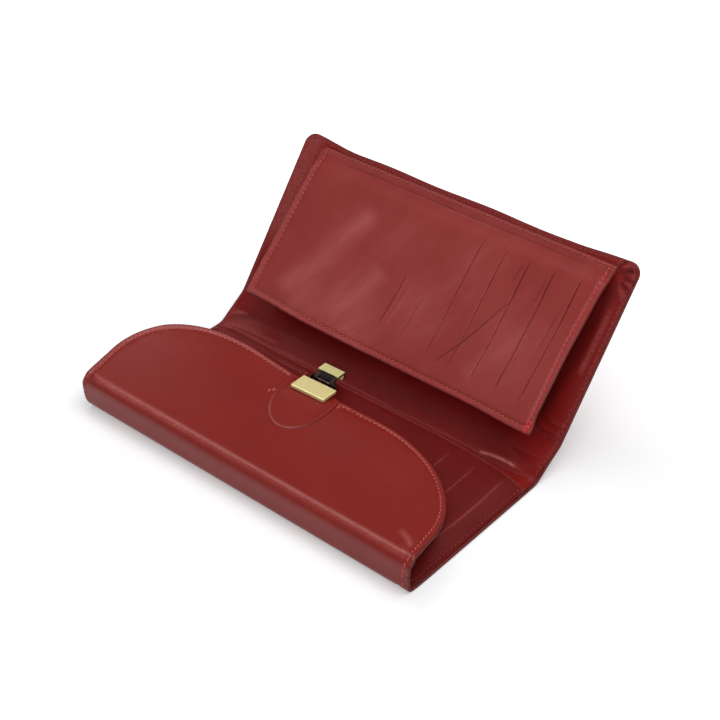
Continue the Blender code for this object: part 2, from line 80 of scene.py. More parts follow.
def lean_of(node, axis):
    """The angle from a fold's axis to a panel's far edge, in the YZ plane."""
    corners = np.array([v.co for v in frame["nodes"][node].data.vertices])[:, 1:]
    arms = corners - axis
    reach = np.hypot(arms[:, 0], arms[:, 1])
    tip = arms[reach > reach.max() - 1e-5].mean(axis=0)
    return math.atan2(tip[1], tip[0])


spine_lean = math.atan2(*(spine_high - spine_low)[::-1])
lid_lean = lean_of("cover_lid", spine_high)
leaf_lean = lean_of("leaf_card_tongue_1", leaf_pin) + math.pi
leans = [round(math.degrees(lean), 1) for lean in (spine_lean, lid_lean, leaf_lean)]
print("lean of spine, lid and leaf:", leans)

wallet_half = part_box("cover_lid")[1].x
spine_width = float(np.hypot(*(spine_high - spine_low)))
strip_height = float(front_high[1] - front_low[1])
base_half_depth = float(spine_low[0])
cover_leather = 1.2 * mm
half_cover = cover_leather / 2
lining_leather = 0.7 * mm
pocket_leather = 0.9 * mm
left_pocket_leather = 0.8 * mm
card_lining_leather = 0.5 * mm
layer_gap = 0.3 * mm
lining_level = half_cover + layer_gap + lining_leather / 2


def put_in_scene(name, data):
    """A new object in the scene, with this mesh, camera or light."""
    made = bpy.data.objects.new(name, data)
    bpy.context.scene.collection.objects.link(made)
    return made


# %% [markdown]
# The camera
# The camera stands where the picture of the wallet was taken: nearly three quarters of a metre
# away, a little to the right, and looking down at about 36 degrees through a long lens.

# %% Place the camera
camera_target = Vector((-5.3, 44.2, 20.0)) * mm
camera_distance = 717 * mm
camera_round = math.radians(39.4)
camera_up = math.radians(35.7)
camera_roll = math.radians(0.8)

towards_camera = Vector((
    math.sin(camera_round) * math.cos(camera_up),
    -math.cos(camera_round) * math.cos(camera_up),
    math.sin(camera_up),
))
level_right = Vector((math.cos(camera_round), math.sin(camera_round), 0))
level_up = towards_camera.cross(level_right)
right = math.cos(camera_roll) * level_right + math.sin(camera_roll) * level_up
upward = math.cos(camera_roll) * level_up - math.sin(camera_roll) * level_right

camera_data = bpy.data.cameras.new("camera")
camera_data.lens = 78
camera_data.sensor_width = 36
camera_data.clip_start = 0.01
camera = put_in_scene("camera", camera_data)
turned = Matrix((right, upward, towards_camera)).transposed().to_4x4()
camera.matrix_world = Matrix.Translation(camera_target + towards_camera * camera_distance) @ turned
bpy.context.scene.camera = camera

# %% [markdown]
# Materials as formulas
# A material is a small network of nodes. Writing each node and link by hand hides the idea, so
# a socket is wrapped here in a class that understands plus, minus and times. A formula in
# Python then builds its own nodes.


# %% A socket that can be used in formulas
class Signal:
    """One output of a node. Arithmetic on it adds Math nodes."""

    def __init__(self, paint, socket):
        self.paint = paint
        self.socket = socket

    def math(self, operation, *others):
        return self.paint.node("ShaderNodeMath", {"operation": operation}, [self, *others])["Value"]

    def __add__(self, other): return self.math("ADD", other)
    def __radd__(self, other): return self.math("ADD", other)
    def __sub__(self, other): return self.math("SUBTRACT", other)
    def __mul__(self, other): return self.math("MULTIPLY", other)

    def between(self, low, high):
        """0 below low, 1 above high, and smooth between them."""
        settings = {"interpolation_type": "SMOOTHSTEP"}
        inputs = {"Value": self, "From Min": low, "From Max": high}
        return self.paint.node("ShaderNodeMapRange", settings, inputs)["Result"]


class Made:
    """A node that has been added. Its outputs are read by name."""

    def __init__(self, paint, node):
        self.paint = paint
        self.node = node

    def __getitem__(self, name):
        return Signal(self.paint, self.node.outputs[name])


class Paint:
    """A material, and the methods that add nodes to it."""

    def __init__(self, name):
        self.material = bpy.data.materials.new(name)
        self.material.use_nodes = True
        self.tree = self.material.node_tree
        self.tree.nodes.clear()
        self.output = self.tree.nodes.new("ShaderNodeOutputMaterial")

    def node(self, kind, settings=(), inputs=()):
        node = self.tree.nodes.new(kind)
        for name, value in dict(settings).items():
            setattr(node, name, value)
        pairs = inputs.items() if isinstance(inputs, dict) else enumerate(inputs)
        for key, value in pairs:
            if isinstance(value, Signal):
                self.tree.links.new(value.socket, node.inputs[key])
            else:
                node.inputs[key].default_value = value
        return Made(self, node)

    def mix(self, share, first, second):
        """A colour between two colours. The node's colour sockets are its inputs 6 and 7 and output 2."""
        made = self.node("ShaderNodeMix", {"data_type": "RGBA"}, {"Factor": share})
        for socket, value in zip((made.node.inputs[6], made.node.inputs[7]), (first, second)):
            if isinstance(value, Signal):
                self.tree.links.new(value.socket, socket)
            else:
                socket.default_value = (*value, 1)
        return Signal(self, made.node.outputs[2])

    def noise(self, places, scale, detail=3.0, roughness=0.5):
        inputs = {"Vector": places, "Scale": scale, "Detail": detail, "Roughness": roughness}
        return self.node("ShaderNodeTexNoise", {}, inputs)["Fac"]

    def stretched(self, places, scale):
        settings = {"operation": "MULTIPLY"}
        return self.node("ShaderNodeVectorMath", settings, [places, scale])["Vector"]

    def turned(self, places, degrees, sizes):
        """Places read along a slanted direction, so that a pattern lies that way."""
        settings = {"vector_type": "TEXTURE"}
        inputs = {"Vector": places, "Rotation": (0, 0, math.radians(degrees)), "Scale": (*sizes, 1.0)}
        return self.node("ShaderNodeMapping", settings, inputs)["Vector"]

    def attribute(self, name):
        return self.node("ShaderNodeAttribute", {"attribute_name": name})["Fac"]

    def bump(self, height, distance):
        return self.node("ShaderNodeBump", {}, {"Height": height, "Distance": distance})["Normal"]

    def finish(self, **inputs):
        """The shader itself. Fixed values are set on its own sockets."""
        named = {name.replace("_", " "): value for name, value in inputs.items()}
        shader = self.node("ShaderNodeBsdfPrincipled", {}, named)
        self.tree.links.new(shader.node.outputs["BSDF"], self.output.inputs["Surface"])
        return self.material


# %% [markdown]
# Glazed leather
# The wallet's leather is smooth calf, dyed red and glazed. Close up it has fine pores, from
# further off the dye is a little cloudy, and it is darker where the edges were turned and inked.
# Some panels also carry painted highlights, a painted sheen and painted shade in their colour.
# All patterns are read on the flat leather, in millimetres, through each panel's own map, so
# the grain bends round the folds with it.


# %% Mix a leather
def glazed_leather(name, colour, deep, pale_colour, gloss, painted_sheen=None, shine=0.12, gleam=0.30):
    """Leather dyed between two reds. Its panel says where it is inked and where shade is painted,
    where it is rubbed and where highlights are painted, and where a sheen is painted.
    """
    paint = Paint(name)
    flat = paint.node("ShaderNodeUVMap", {"uv_map": "flat"})["UV"]
    places = paint.stretched(flat, (1000, 1000, 1000))  # in millimetres
    # the attributes: inked edges with painted shade, rubbed paleness with painted highlights, and a painted
    # sheen
    edge, wear_and_highlight, painted_sheen_share = [paint.attribute(kind) for kind in ("edge", "wear_and_highlight", "painted_sheen")]

    clouds = paint.noise(places, 0.035, 4.0, 0.55).between(0.30, 0.70)
    mottle = paint.noise(places, 0.35, 5.0, 0.62).between(0.28, 0.72)
    specks = paint.noise(places, 1.9, 3.0, 0.6).between(0.35, 0.75)
    dyed = paint.mix(clouds * 0.5 + mottle * 0.25 + specks * 0.25, deep, colour)
    roughness = gloss + mottle * 0.08 + edge * 0.12 - wear_and_highlight * 0.03
    # a painted sheen: pale streaks and wisps that stand in for the soft reflection of light on the leaf
    if painted_sheen:
        streaks = paint.noise(paint.turned(places, 62, (30, 9)), 1.0, 2.0, 0.5).between(0.34, 0.70)
        wisps = paint.noise(paint.turned(places, 66, (14, 2.4)), 1.0, 3.0, 0.55).between(0.40, 0.80)
        dyed = paint.mix(painted_sheen_share * (0.56 + streaks * 0.26 + wisps * 0.18) + streaks * 0.10, dyed, painted_sheen)
        roughness = roughness - painted_sheen_share * 0.04
    flecks = paint.noise(places, 0.85, 3.0, 0.6).between(0.36, 0.66)
    # paler where rubbed and where highlights are painted
    rubbed = paint.mix(wear_and_highlight * (0.40 + flecks * 0.60), dyed, pale_colour)
    # darker at the inked edges and cuts, and where shade is painted
    inked = paint.mix(edge * 0.85, rubbed, tuple(0.26 * part for part in deep))

    cells = {"Vector": places, "Scale": 1.5, "Randomness": 0.9}
    pebbles = paint.node("ShaderNodeTexVoronoi", {"feature": "SMOOTH_F1"}, cells)["Distance"]
    creases = paint.noise(paint.stretched(places, (0.5, 1.0, 1.0)), 1.1, 6.0, 0.6)
    height = pebbles * 0.010 + creases * 0.034 + mottle * 0.016
    return paint.finish(
        Base_Color=inked, Roughness=roughness, Normal=paint.bump(height, mm),
        Specular_IOR_Level=gleam, Coat_Weight=shine, Coat_Roughness=0.24, Coat_IOR=1.45,
    )


flap_red = glazed_leather("flap leather", (0.246, 0.0140, 0.0085), (0.206, 0.0104, 0.0064),
                          (0.47, 0.125, 0.110), 0.30)
base_red = glazed_leather("pocket leather", (0.150, 0.0080, 0.0068), (0.110, 0.0052, 0.0046),
                          (0.48, 0.080, 0.070), 0.34, shine=0.03, gleam=0.12)
# the leaf's last colour is its painted sheen
leaf_red = glazed_leather("leaf leather", (0.278, 0.0270, 0.0220), (0.236, 0.0200, 0.0165),
                          (0.45, 0.085, 0.078), 0.30, painted_sheen=(0.380, 0.074, 0.070), shine=0.13)
# the lining's pale colour serves mostly for painted highlights on the spine and the lid
lining_red = glazed_leather("lining leather", (0.232, 0.0120, 0.0100), (0.166, 0.0076, 0.0068),
                            (0.56, 0.180, 0.160), 0.27, shine=0.05, gleam=0.14)
slit_dark = glazed_leather("slit lining", (0.060, 0.0045, 0.0050), (0.040, 0.0035, 0.0040),
                           (0.07, 0.009, 0.009), 0.55, shine=0.0)

# %% [markdown]
# Brass, dark steel and thread
# The clasp's plate and hook are brass, brushed along the wallet and lacquered a pale olive gold.
# Its bracket and spring are blackened steel, and its pin is bare. The thread is waxed polyester, a
# little lighter than the leather. Along the leaf's right edge it is fresher and redder, and on the
# lining it is darker.


# %% Mix the metals and the thread
def brushed_metal(name, colour, dull, roughness, metallic=1.0):
    """Metal with strokes along the wallet and a patina that dulls it in patches."""
    paint = Paint(name)
    places = paint.node("ShaderNodeTexCoord")["Object"]
    strokes = paint.noise(paint.stretched(places, (900, 9000, 9000)), 1.0, 3.0, 0.6)
    patina = paint.noise(places, 260.0, 4.0, 0.6).between(0.35, 0.75)
    tone = paint.mix(patina * 0.6 + strokes * 0.25, colour, dull)
    rough = roughness + strokes * 0.10 + patina * 0.06
    return paint.finish(Base_Color=tone, Roughness=rough, Metallic=metallic,
                        Normal=paint.bump(strokes, 0.004 * mm))


def waxed_thread(name, dark, light):
    """Thread whose twist shows as darker and lighter turns."""
    paint = Paint(name)
    places = paint.node("ShaderNodeTexCoord")["Object"]
    twist = paint.noise(paint.stretched(places, (4000, 4000, 4000)), 1.0, 2.0)
    return paint.finish(Base_Color=paint.mix(twist, dark, light), Roughness=0.45 + twist * 0.15,
                        Normal=paint.bump(twist, 0.05 * mm))


brass = brushed_metal("lacquered brass", (0.97, 0.90, 0.43), (0.87, 0.79, 0.33), 0.32, metallic=0.5)
# also painted shade on the clasp hook's arms and side faces, and on the sheet between them
dark_steel_and_shade = brushed_metal("dark steel and painted shade", (0.050, 0.040, 0.038), (0.020, 0.016, 0.015), 0.32)
rod_steel = brushed_metal("rod steel", (0.40, 0.36, 0.33), (0.20, 0.18, 0.16), 0.24)
thread = waxed_thread("waxed thread", (0.40, 0.050, 0.042), (0.55, 0.098, 0.085))
lining_thread = waxed_thread("lining thread", (0.20, 0.014, 0.016), (0.30, 0.030, 0.034))
fresh_thread = waxed_thread("fresh thread", (0.50, 0.020, 0.028), (0.72, 0.042, 0.050))

# %% [markdown]
# A panel of leather, cut flat
# A real maker draws each panel flat, cuts it and folds it. The same is done here. The outline is
# drawn in two numbers: across the wallet, and along the leather. Points are laid inside it,
# closely near the edges and slits, and joined to triangles. A second function bends the flat
# panel into place, and the leather gets its thickness square to that surface, so that its
# edge is round wherever it was cut.


# %% Measure distances to cut edges
most_pairs = 2_000_000  # of points and edges, compared at a time


def segments_of(corners):
    """The start and end of each edge of a closed outline."""
    corners = np.asarray(corners, float)
    return corners, np.roll(corners, -1, axis=0)


def edges_of(path):
    """The start and end of each edge of an open line."""
    path = np.asarray(path, float)
    return path[:-1], path[1:]


def nearest(points, starts, ends):
    """How far each point is from the nearest of some edges, and how far along them that is."""
    runs = np.hypot(*(ends - starts).T)
    before = np.concatenate([[0], np.cumsum(runs)[:-1]])
    arm = (ends - starts) / np.maximum(runs, 1e-12)[:, None] ** 2
    gaps, places = [], []
    for part in np.array_split(points, max(1, len(points) * len(starts) // most_pairs)):
        out = part[:, None, :] - starts[None]
        share = np.clip((out * arm[None]).sum(axis=2), 0, 1)
        away = out - share[..., None] * (ends - starts)[None]
        gap = np.hypot(away[..., 0], away[..., 1])
        best = gap.argmin(axis=1)
        rows = np.arange(len(part))
        gaps.append(gap[rows, best])
        places.append(before[best] + share[rows, best] * runs[best])
    return np.concatenate(gaps), np.concatenate(places)


def inside(points, corners):
    """True for the points that lie inside a closed outline."""
    starts, ends = segments_of(corners)
    odd = np.zeros(len(points), bool)
    for (x1, y1), (x2, y2) in zip(starts, ends):
        if y1 == y2:
            continue
        crosses = (points[:, 1] < y1) != (points[:, 1] < y2)
        odd ^= crosses & (points[:, 0] < (x2 - x1) * (points[:, 1] - y1) / (y2 - y1) + x1)
    return odd


def divided(start, end, step):
    """Points from start up to, but not including, end."""
    count = max(1, math.ceil(math.dist(start, end) / step - 1e-6))
    share = np.arange(count)[:, None] / count
    return np.asarray(start) + share * (np.asarray(end) - np.asarray(start))


def direction_and_side(start, end):
    """The direction of a segment, and the direction to its left."""
    direction = (end - start) / math.dist(start, end)
    return direction, np.array([-direction[1], direction[0]])


# %% [markdown]
# Which way is up on a bent sheet
# The bent surface is only known as a function from the flat leather to space. Two tiny steps on
# the flat leather, one across and one along, give two directions on the surface, and their cross
# product stands square to both.


# %% The panel itself
far_away = 1.0  # the distance from a slit, on a panel that has none
outline_step = 0.7 * mm
slit_step = 0.8 * mm
line_step = 0.9 * mm
line_rows = (-1.3, -0.8, -0.4, 0, 0.4, 0.8, 1.3)  # in widths of the line, from its middle
slit_rows_out = (0.12, 0.3, 0.6, 1.0)  # rows of points round a slit, in millimetres from it
closest_in_row = 0.75 * mm
closest_share = 0.35  # of a row's step, that two of its points are apart
clear_share = 0.985  # of a row's distance, that its points are from every cut edge
row_to_seam = 0.3 * mm
grid_to_slit = 1.4 * mm
point_to_edge = 0.05 * mm
on_the_edge, same_place, same_point = 1e-7, 1e-9, 1e-8  # in metres
smallest_triangle = 1e-13
relief_fade = 0.5 * mm
rim_ink_width = 0.55 * mm
slit_ink_width = 0.22 * mm
sharp_angle = math.radians(70)


def read_at(value, spots):
    """A plain number, or one that varies over the leather."""
    return value(spots) if callable(value) else value


class Spots:
    """Points on the flat leather, with their distances from cut edge and slits."""

    def __init__(self, flat, rim, run, slit):
        self.flat = flat
        self.across, self.along = flat.T
        self.rim, self.run, self.slit = rim, run, slit


# Rows of points inside the cut edge, in millimetres from it
usual_steps = (0.08, 0.22, 0.45, 0.8, 1.3, 1.9, 2.5, 3.0, 3.5, 4.3, 5.3)
few_steps = (0.08, 0.25, 0.6, 1.4)


def seam_edge(starts, ends, place):
    """Which edge of an outline runs straight across at this place along the leather."""
    level = (np.abs(starts[:, 1] - place) < same_place) & (np.abs(ends[:, 1] - place) < same_place)
    return int(level.argmax())


class Panel:
    """A panel of leather. Seams are edges that meet the next panel, so they aren't rounded. They
    are given by their place along the leather."""

    def __init__(self, name, outline, bend, thickness, level, seams_at=(), slits=(), relief=None,
                 under=None, lines=(), grid=1.5 * mm, edge_steps=usual_steps, rounding=0.6 * mm,
                 rim_ink=1.0, slit_ink=0.6, slit_round=1.3):
        self.name, self.bend, self.thickness, self.rounding = name, bend, thickness, rounding
        self.level, self.relief, self.under = level, relief, under
        self.rim_ink, self.slit_ink, self.slit_round = rim_ink, slit_ink, slit_round
        self.slits = [np.asarray(slit) for slit in slits]
        self.lines, self.grid = lines, grid
        self.edge_steps = [step * mm for step in edge_steps]
        outline, ends = segments_of(outline)
        seams = [seam_edge(outline, ends, place) for place in seams_at]
        rim = [index for index in range(len(outline)) if index not in seams]
        if seams:  # start the cut edge just after the seam, so that it is one run
            turn = (max(seams) + 1) % len(outline) if 0 not in seams or len(seams) == 1 else seams[0] + 1
            rim = sorted(rim, key=lambda index: (index - turn) % len(outline))
        self.rim_edges = (outline[rim], ends[rim])
        self.seam_edges = (outline[seams], ends[seams]) if seams else None
        self.outline = np.concatenate([
            divided(a, b, self.grid if index in seams else outline_step)
            for index, (a, b) in enumerate(zip(outline, ends))
        ])

    def spots(self, flat):
        rim, run = nearest(flat, *self.rim_edges)
        slit = np.full(len(flat), far_away)
        for hole in self.slits:
            slit = np.minimum(slit, nearest(flat, *segments_of(hole))[0])
        return Spots(flat, rim, run, slit)

    def inset(self, distance, step, edges=None):
        """The cut edge, moved inwards. Points that come too near another edge or each other are
        left out."""
        starts, ends = edges or self.rim_edges
        places = []
        for start, end in zip(starts, ends):
            inward = direction_and_side(start, end)[1]
            places.append(np.vstack([divided(start, end, step), end]) + inward * distance)
        places = np.concatenate(places)
        places = places[nearest(places, starts, ends)[0] > abs(distance) * clear_share]
        kept = [places[0]]
        for place in places[1:]:
            if math.dist(place, kept[-1]) > closest_share * step:
                kept.append(place)
        return np.array(kept)

    def flat_points(self):
        """Points inside the outline: a grid, with closer rows near edges, slits and lines."""
        low, high = self.outline.min(axis=0), self.outline.max(axis=0)
        columns = np.arange(low[0] + self.grid / 2, high[0], self.grid)
        rows = np.arange(low[1] + self.grid / 2, high[1], self.grid)
        field = np.stack(np.meshgrid(columns, rows), axis=-1).reshape(-1, 2)
        # the grid stays about half a cell away from the rows
        rim = nearest(field, *self.rim_edges)[0]
        keep = rim > self.edge_steps[-1] + 0.5 * self.grid
        if self.seam_edges:
            keep &= nearest(field, *self.seam_edges)[0] > 0.45 * self.grid
        rows_in = [self.inset(step, max(closest_in_row, 0.6 * step)) for step in self.edge_steps]
        rows_in = np.concatenate(rows_in)
        if self.seam_edges:
            rows_in = rows_in[nearest(rows_in, *self.seam_edges)[0] > row_to_seam]
        for hole in self.slits:
            starts, ends = segments_of(hole)
            around = [self.inset(-step * mm, slit_step, (starts, ends)) for step in slit_rows_out]
            keep &= nearest(field, starts, ends)[0] > grid_to_slit
            rows_in = np.concatenate([rows_in, *around])
        for start, end, width in self.lines:
            start, end = np.asarray(start), np.asarray(end)
            direction, side = direction_and_side(start, end)
            middle = divided(start - direction * width, end + direction * width, line_step)
            keep &= nearest(field, start[None], end[None])[0] > line_rows[-1] * width + 0.4 * self.grid
            rows_in = np.concatenate([rows_in, *(middle + side * width * share for share in line_rows)])
        points = np.concatenate([field[keep], rows_in])
        points = points[inside(points, self.outline)]
        for hole in self.slits:
            points = points[~inside(points, hole)]
        return points[nearest(points, *segments_of(self.outline))[0] > point_to_edge]

    def heights(self, spots, side):
        """The leather's upper or lower face, over the surface that it is bent to."""
        slit_gap = read_at(self.slit_round, spots) * spots.slit
        near = np.clip(np.minimum(spots.rim, slit_gap) / self.rounding, 0, 1)
        wall = read_at(self.thickness, spots) / 2 * np.sqrt(1 - (1 - near) ** 2)
        extra = self.relief if side > 0 else self.under
        proud = extra(spots) if extra else 0
        fade = np.clip(np.minimum(spots.rim, spots.slit) / relief_fade, 0, 1)
        return read_at(self.level, spots) + side * wall + side * proud * fade

    def surface(self, flat):
        """Places on the bent surface, and the directions out of it."""
        step = 0.05 * mm
        across = self.bend(flat + (step, 0)) - self.bend(flat - (step, 0))
        along = self.bend(flat + (0, step)) - self.bend(flat - (0, step))
        out = np.cross(across, along)
        return self.bend(flat), out / np.linalg.norm(out, axis=1)[:, None]

    def points(self, flat, side, lift):
        """Places on one face or just over it, and the directions out of that face."""
        place, out = self.surface(flat)
        return place + out * (self.heights(self.spots(flat), side) + side * lift)[:, None], out * side

    def triangles(self):
        """The flat leather as triangles that all turn the same way."""
        corners = list(self.outline)
        edges = [(index, (index + 1) % len(corners)) for index in range(len(corners))]
        for hole in self.slits:
            first = len(corners)
            ring = np.concatenate([divided(a, b, slit_step) for a, b in zip(*segments_of(hole))])
            corners += list(ring)
            edges += [(first + index, first + (index + 1) % len(ring)) for index in range(len(ring))]
        corners += list(self.flat_points())
        made = delaunay_2d_cdt([Vector(corner) for corner in corners], edges, [], 1, same_point, False)
        flat = np.array(made[0], float).reshape(-1, 2)
        faces = np.array(made[2], int)
        middles = flat[faces].mean(axis=1)
        keep = inside(middles, self.outline)
        for hole in self.slits:
            keep &= ~inside(middles, hole)
        faces = faces[keep]
        a, b, c = flat[faces[:, 0]], flat[faces[:, 1]], flat[faces[:, 2]]
        turn = (b - a)[:, 0] * (c - a)[:, 1] - (b - a)[:, 1] * (c - a)[:, 0]
        faces[turn < 0] = faces[turn < 0][:, ::-1]
        return flat, faces[np.abs(turn) > smallest_triangle]

    def build(self, material, wear_and_highlight=None, ink=None, painted_sheen=None):
        """The bent leather as a closed mesh. It has a map to the flat leather, and says for each
        point its inking and painted shade, its rubbed paleness and painted highlights, and its painted sheen."""
        flat, faces = self.triangles()
        spots = self.spots(flat)
        place, out = self.surface(flat)
        upper = place + out * self.heights(spots, 1)[:, None]
        lower = place + out * self.heights(spots, -1)[:, None]
        count = len(flat)
        joined = (spots.rim < on_the_edge) | (spots.slit < on_the_edge)
        below = np.where(joined, np.arange(count), np.arange(count) + count)

        sides = np.concatenate([faces[:, [0, 1]], faces[:, [1, 2]], faces[:, [2, 0]]])
        keys = set(map(tuple, sides.tolist()))
        seam = [(a, b) for a, b in keys if (b, a) not in keys and not (joined[a] and joined[b])]
        caps = []
        for a, b in sorted(seam):
            ring = [b, a, below[a], below[b]]
            caps.append([v for index, v in enumerate(ring) if v != ring[index - 1]])
        all_faces = faces.tolist() + below[faces][:, ::-1].tolist() + caps
        used = np.unique(np.concatenate([faces.ravel(), below[faces].ravel()]))
        renumber = np.full(2 * count, -1)
        renumber[used] = np.arange(len(used))
        mesh = bpy.data.meshes.new(self.name)
        mesh.from_pydata(np.concatenate([upper, lower])[used].tolist(), [],
                         [[int(renumber[v]) for v in face] for face in all_faces])

        both = np.concatenate([flat, flat])[used]
        corner_of = np.empty(len(mesh.loops), np.int32)
        mesh.loops.foreach_get("vertex_index", corner_of)
        uv = mesh.uv_layers.new(name="flat")
        uv.uv.foreach_set("vector", both[corner_of].astype(np.float32).ravel())
        # the edge attribute: inked rim and cuts, with painted shade added on top
        edge = self.rim_ink * np.exp(-(spots.rim / rim_ink_width) ** 2)
        slit_ink = read_at(self.slit_ink, spots)
        edge = np.maximum(edge, slit_ink * np.exp(-(spots.slit / slit_ink_width) ** 2))
        edge = np.maximum(edge, ink(spots)) if ink else edge
        # rubbed paleness with painted highlights, and the painted sheen
        rubbed, painted_sheen_values = [part(spots) if part else np.zeros(count) for part in (wear_and_highlight, painted_sheen)]
        for name, values in (("edge", edge), ("wear_and_highlight", rubbed), ("painted_sheen", painted_sheen_values)):
            values = np.concatenate([values, values])[used].astype(np.float32)
            mesh.attributes.new(name, "FLOAT", "POINT").data.foreach_set("value", values)
        mesh.shade_smooth()
        mesh.set_sharp_from_angle(angle=sharp_angle)
        mesh.materials.append(material)
        self.object = put_in_scene(self.name, mesh)
        print(f"{self.name}: {len(mesh.polygons)} faces")
        return self.object


# %% [markdown]
# Bending round a fold
# A fold of real leather isn't a sharp line. The panel runs straight, turns on an arc, and runs
# straight again. The place along the leather is counted from where the two straight parts would
# meet, so the same count works for every layer that goes round the fold.


# %% Bend a strip
def bent(along, corner, first, second, radius):
    """Y and Z of places along a strip that turns at a corner from one angle to another."""
    first, second = np.broadcast_to(first, along.shape), np.broadcast_to(second, along.shape)
    radius = np.broadcast_to(radius, along.shape)
    turn = (second - first + math.pi) % (2 * math.pi) - math.pi
    side = np.sign(turn)
    straight = radius * np.tan(np.abs(turn) / 2)
    go = np.stack([np.cos(first), np.sin(first)], axis=-1)
    left = np.stack([-np.sin(first), np.cos(first)], axis=-1)
    leave = np.stack([np.cos(second), np.sin(second)], axis=-1)
    angle = np.clip((along + straight) / (2 * straight), 0, 1) * np.abs(turn)
    centre = np.asarray(corner) - straight[:, None] * go + (side * radius)[:, None] * left
    arc = centre + radius[:, None] * (go * np.sin(angle)[:, None] - left * (side * np.cos(angle))[:, None])
    early = np.minimum(along + straight, 0)[:, None] * go
    late = np.maximum(along - straight, 0)[:, None] * leave
    return arc + early + late


def in_space(across, yz):
    return np.concatenate([across[:, None], yz], axis=1)


def flat_bend(flat):
    """A panel that lies on the base."""
    return in_space(flat[:, 0], np.stack([flat[:, 1], 0 * flat[:, 1]], axis=1))


# %% [markdown]
# Life in the leather
# No panel of a used wallet is flat. Slow waves lift it by a few tenths of a millimetre, the
# sewn edge is drawn in at the thread and swells outside it, and each stitch pulls a small pucker.
# Waves are sums of sines with fixed random directions, so every run gives the same wallet.


# %% Waves, sewn edges and creases
wave_count = 9


def waves(seed, height, shortest, longest):
    """A smooth field of slow waves over the flat leather."""
    random = np.random.default_rng(seed)
    heading = random.uniform(0, math.pi, wave_count)
    length = random.uniform(shortest, longest, wave_count)
    phase = random.uniform(0, 2 * math.pi, wave_count)
    weight = length / longest
    weight = weight / np.sqrt((weight ** 2).sum() / 2)

    def field(spots):
        total = np.zeros(len(spots.across))
        for turn, size, start, share in zip(heading, length, phase, weight):
            way = spots.across * math.cos(turn) + spots.along * math.sin(turn)
            total += share * np.sin(2 * math.pi * way / size + start)
        return height * total / 2
    return field


def smooth_step(values, low, high):
    """0 below low, 1 above high, and smooth between them."""
    share = np.clip((values - low) / (high - low), 0, 1)
    return share * share * (3 - 2 * share)


def plateau(values, rise_from, rise_to, fall_from, fall_to):
    """1 in the middle, falling smoothly to 0 on both sides."""
    return smooth_step(values, rise_from, rise_to) * (1 - smooth_step(values, fall_from, fall_to))


stitch_inset = 3.0 * mm
stitch_pitch = 2.6 * mm
groove_width = 0.55 * mm
pucker_width = 1.3 * mm


def sewn(depth=0.30 * mm, pucker=0.13 * mm, inset=stitch_inset, bead=0.20 * mm, path=None):
    """The groove under a row of stitches, the swelling outside it and the puckers across it.
    The row runs inside the cut edge, or along a path of its own."""
    def relief(spots):
        if path is None:
            gap, run, outside = spots.rim - inset, spots.run, spots.rim / inset
        else:
            gap, run = nearest(spots.flat, *edges_of(path))
            outside = np.clip(spots.rim / (spots.rim + gap + 1e-6), 0, 1)
        groove = np.exp(-(gap / groove_width) ** 2)
        swelling = np.exp(-((outside - 0.5) / 0.33) ** 2)  # halfway between the row and the cut edge
        spread = np.exp(-(gap / pucker_width) ** 2)
        ripple = np.cos(2 * math.pi * run / stitch_pitch)
        return bead * swelling - depth * groove + pucker * spread * ripple
    return relief


def curved(path):
    """The same line with its corners cut, twice."""
    for _ in range(2):
        early, late = 0.75 * path[:-1] + 0.25 * path[1:], 0.25 * path[:-1] + 0.75 * path[1:]
        path = np.concatenate([path[:1], np.stack([early, late], axis=1).reshape(-1, 2), path[-1:]])
    return path


def beside(spots, path):
    """How far each point is from a line, on which side of it, and its place from 0 to 1 along it."""
    starts, ends = edges_of(path)
    runs = np.hypot(*(ends - starts).T)
    knots = np.concatenate([[0], np.cumsum(runs)])
    gap, run = nearest(spots.flat, starts, ends)
    foot = np.stack([np.interp(run, knots, column) for column in path.T], axis=1)
    piece = np.clip(np.searchsorted(knots, run, side="right") - 1, 0, len(runs) - 1)
    way = (ends - starts)[piece] / runs[piece][:, None]
    off = spots.flat - foot
    return gap, way[:, 0] * off[:, 1] - way[:, 1] * off[:, 0], run / knots[-1]


def crease(path, width, height, lopsided=0.0):
    """A ridge along a line on the flat leather, or a groove where the height is below 0. A
    lopsided one is steep on its right and falls off slowly on its left."""
    path = curved(path)

    def relief(spots):
        gap, left, share = beside(spots, path)
        reach = width * (1 + lopsided * smooth_step(left, 0, width))
        return height * np.exp(-(gap / reach) ** 2) * np.sin(math.pi * np.clip(share, 0, 1)) ** 0.7
    return relief


def drawn(path, width, strength):
    """A thin line of paler or darker colour, which fades out at both ends. It paints highlights, a sheen and
    shade.
    """
    path = curved(path)

    def share(spots):
        gap, _, along = beside(spots, path)
        return strength * np.exp(-(gap / width) ** 2) * plateau(along, 0, 0.15, 0.85, 1)
    return share


def soft_patch(x, y, reach, strength):
    """A round patch, in millimetres, that fades out."""
    def share(spots):
        return strength * np.exp(-np.sum((spots.flat / mm - (x, y)) ** 2, axis=1) / reach ** 2)
    return share


def refined(folds, *paths, width=0.7 * mm):
    """The parts of some folds and lines, as places where a panel needs more points."""
    paths = [*(fold[0] for fold in folds), *paths]
    return [(start, end, width) for path in paths for start, end in zip(*edges_of(path))]


def pale_rim_band(middle, width, strength):
    """A pale band along the swollen edge, where hands rub the glaze away. On the flap and the tab it is also a
    painted highlight.
    """
    return lambda spots: read_at(strength, spots) * np.exp(-((spots.rim - middle) / width) ** 2)


def points_of(*pairs):
    """Places given in millimetres."""
    return np.array(pairs) * mm


def together(*parts):
    return lambda spots: sum(part(spots) for part in parts)


def creases(folds):
    return together(*(crease(*fold) for fold in folds))


def strongest(*parts):
    return lambda spots: np.max([part(spots) for part in parts], axis=0)


